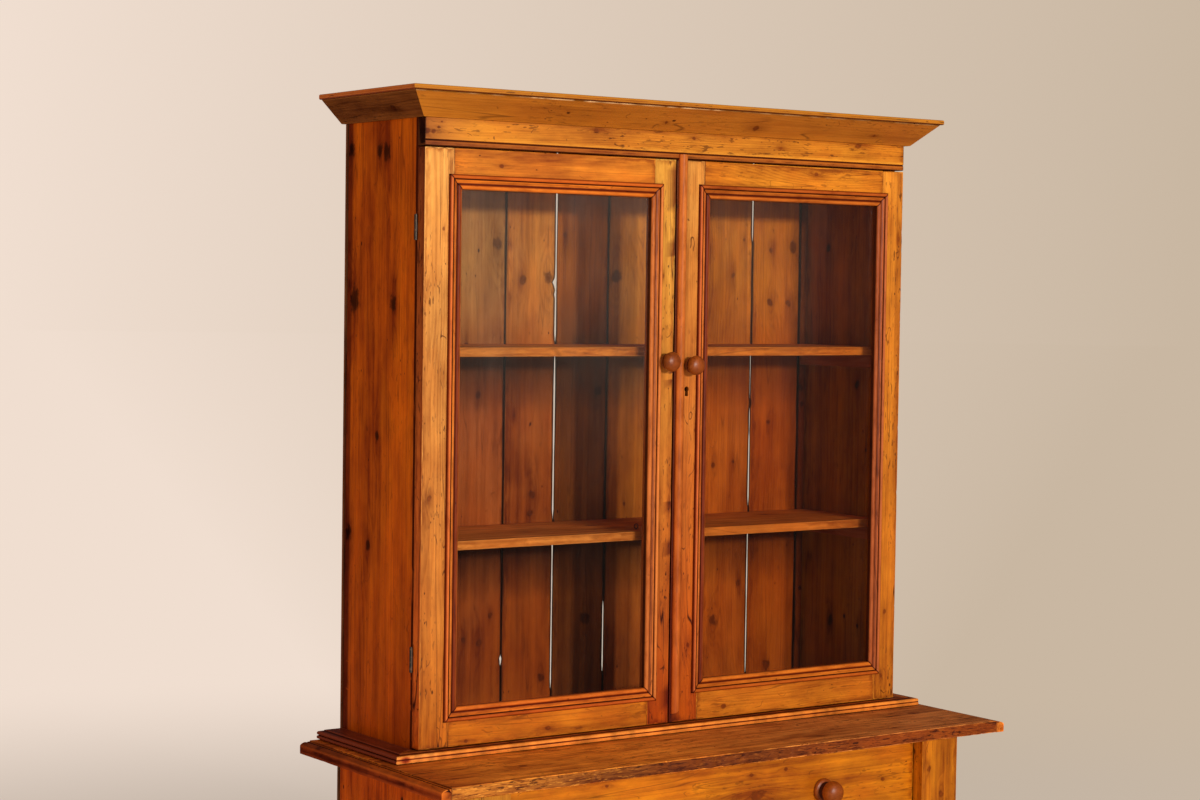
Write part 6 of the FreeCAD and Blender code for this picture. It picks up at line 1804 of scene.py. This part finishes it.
# nails: back boards to the shelves, the top and the bottom
places = []
for k in range(10):
    xa, xb = JOINTS[k], JOINTS[k + 1]
    for z in (849, 1245, 1641, 2121):
        spots = (0.25, 0.75) if xb - xa > 60 else (0.5,)
        for n, f in enumerate(spots):
            places.append((xa + (xb - xa) * f + 6 * (hashed(k * 4 + n, z) - 0.5), z + 7 * (hashed(k, z + n) - 0.5)))
nail_heads("case_back_nails", places, OUT - 0.75, "case")

# ---------------------------------------------------------------------------------------------------------------------
# Parts kept from the CAD: a finish of their own
# ---------------------------------------------------------------------------------------------------------------------
for node in ("shelf_screw_eye", "lock_case", "lock_bolt", "left_bolt_plate", "left_bolt_rod", "left_door_hinge_leaves",
             "right_door_hinge_leaves", "lower_left_door_hinge_leaves", "lower_right_door_hinge_leaves", "hinge_case_leaves",
             "hinge_pins", "left_door_glass", "right_door_glass"):
    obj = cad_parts[node]
    parts = obj if isinstance(obj, (list, tuple)) else [obj]
    for o in parts:
        if not o.material_slots:
            o.data.materials.append(None)
        for ms in o.material_slots:
            ms.material = GLASS if node.endswith("glass") else IRON

# ---------------------------------------------------------------------------------------------------------------------
# Floor, light, surroundings
# ---------------------------------------------------------------------------------------------------------------------
BACKDROP = srgb(222, 206, 190)
WALL_L, WALL_R, WALL_X = srgb(240, 222, 208), srgb(201, 183, 162), (0.36, 0.75)


def make_floor():
    rings = [0.0, 0.6, 1.2, 2.0, 3.0, 4.5, 7.0, 12.0, 30.0, 90.0]
    n = 48
    verts, faces = [(0, 0, 0)], []
    for r in rings[1:]:
        for k in range(n):
            a = 2 * math.pi * k / n
            verts.append((r * math.cos(a), r * math.sin(a), 0.0))
    for k in range(n):
        faces.append((0, 1 + k, 1 + (k + 1) % n))
    for q in range(len(rings) - 2):
        for k in range(n):
            a, b = 1 + q * n + k, 1 + q * n + (k + 1) % n
            faces.append((a, a + n, b + n, b))
    mesh = bpy.data.meshes.new("floor")
    mesh.from_pydata(verts, [], faces)
    obj = bpy.data.objects.new("floor", mesh)
    bpy.context.scene.collection.objects.link(obj)
    g = Graph("floor_finish")
    co = g.new("ShaderNodeTexCoord").outputs["Object"]
    far = g.step(g.vm("LENGTH", co), 1.6, 6.0)
    near = g.new("ShaderNodeBsdfDiffuse")
    near.inputs[0].default_value = (*srgb(214, 202, 190), 1.0)
    glow = g.new("ShaderNodeEmission")
    ox, oy, oz = g.sep(g.vm("NORMALIZE", co))
    away = g.new("ShaderNodeMapRange")
    g.put(away.inputs[0], ox)
    away.inputs[1].default_value = WALL_X[0]
    away.inputs[2].default_value = WALL_X[1]
    g.put(glow.inputs[0], g.mix(away.outputs[0], WALL_L, WALL_R))
    glow.inputs[1].default_value = 1.0
    lift = g.new("ShaderNodeEmission")
    lift.inputs[0].default_value = (*BACKDROP, 1.0)
    lift.inputs[1].default_value = 0.36
    both = g.new("ShaderNodeAddShader")
    g.nt.links.new(near.outputs[0], both.inputs[0])
    g.nt.links.new(lift.outputs[0], both.inputs[1])
    mx = g.new("ShaderNodeMixShader")
    g.put(mx.inputs[0], far)
    g.nt.links.new(both.outputs[0], mx.inputs[1])
    g.nt.links.new(glow.outputs[0], mx.inputs[2])
    mesh.materials.append(g.out(mx.outputs[0]))
    obj.visible_glossy = False


make_floor()

AMBIENT = 0.22


def make_world():
    w = bpy.data.worlds.new("studio")
    bpy.context.scene.world = w
    w.use_nodes = True
    w.cycles.sampling_method = "NONE"
    nt = w.node_tree
    nt.nodes.clear()
    new = nt.nodes.new
    path = new("ShaderNodeLightPath")
    seen = new("ShaderNodeBackground")
    seen.inputs[0].default_value = (*BACKDROP, 1.0)
    soft = new("ShaderNodeBackground")
    soft.inputs[0].default_value = (1.0, 0.955, 0.90, 1.0)
    soft.inputs[1].default_value = AMBIENT
    mirror = new("ShaderNodeBackground")
    co = new("ShaderNodeTexCoord")
    sp = new("ShaderNodeSeparateXYZ")
    ramp = new("ShaderNodeMapRange")
    ramp.interpolation_type = "SMOOTHSTEP"
    nt.links.new(co.outputs["Generated"], sp.inputs[0])
    nt.links.new(sp.outputs["Z"], ramp.inputs[0])
    side = new("ShaderNodeMapRange")
    nt.links.new(sp.outputs["X"], side.inputs[0])
    side.inputs[1].default_value = WALL_X[0]
    side.inputs[2].default_value = WALL_X[1]
    wall = new("ShaderNodeMix")
    wall.data_type = "RGBA"
    nt.links.new(side.outputs[0], wall.inputs[0])
    wall.inputs[6].default_value = (*WALL_L, 1.0)
    wall.inputs[7].default_value = (*WALL_R, 1.0)
    nt.links.new(wall.outputs[2], seen.inputs[0])
    ramp.inputs[1].default_value = -0.16
    ramp.inputs[2].default_value = 0.10
    ramp.inputs[3].default_value = 0.006
    ramp.inputs[4].default_value = 0.045
    mirror.inputs[0].default_value = (1.0, 0.96, 0.92, 1.0)
    nt.links.new(ramp.outputs[0], mirror.inputs[1])
    m1 = new("ShaderNodeMixShader")
    m2 = new("ShaderNodeMixShader")
    out = new("ShaderNodeOutputWorld")
    nt.links.new(path.outputs["Is Glossy Ray"], m1.inputs[0])
    nt.links.new(soft.outputs[0], m1.inputs[1])
    nt.links.new(mirror.outputs[0], m1.inputs[2])
    nt.links.new(path.outputs["Is Camera Ray"], m2.inputs[0])
    nt.links.new(m1.outputs[0], m2.inputs[1])
    nt.links.new(seen.outputs[0], m2.inputs[2])
    nt.links.new(m2.outputs[0], out.inputs[0])


make_world()


def area(name, where, target, size, power, color=(1.0, 0.965, 0.91), glossy=True):
    data = bpy.data.lights.new(name, "AREA")
    data.shape = "RECTANGLE"
    data.size, data.size_y = size
    data.energy = power
    data.color = color
    obj = bpy.data.objects.new(name, data)
    bpy.context.scene.collection.objects.link(obj)
    obj.location = where
    obj.rotation_euler = (Vector(target) - Vector(where)).to_track_quat("-Z", "Y").to_euler()
    obj.visible_camera = False
    obj.visible_glossy = glossy
    return obj


area("key_left", (-0.76, -8.0, 2.72), (0.0, 0.0, 1.35), (0.34, 0.42), 205)
area("key_right", (0.34, -8.0, 2.72), (0.0, 0.0, 1.35), (0.34, 0.42), 205)
area("fill_high", (-0.3, -4.2, 4.0), (0.0, 0.0, 1.2), (2.4, 1.6), 24, glossy=False)
area("fill_left", (-7.4, -1.6, 2.3), (0.0, 0.0, 1.1), (2.6, 2.2), 74, glossy=False)
area("fill_right", (7.4, -0.6, 2.3), (0.0, 0.0, 1.1), (2.6, 2.2), 60, glossy=False)

sc = bpy.context.scene
sc.view_settings.view_transform = "Standard"
sc.view_settings.look = "None"
sc.view_settings.exposure = 0.0
sc.view_settings.gamma = 1.0

# ---------------------------------------------------------------------------------------------------------------------
bpy.context.view_layer.update()
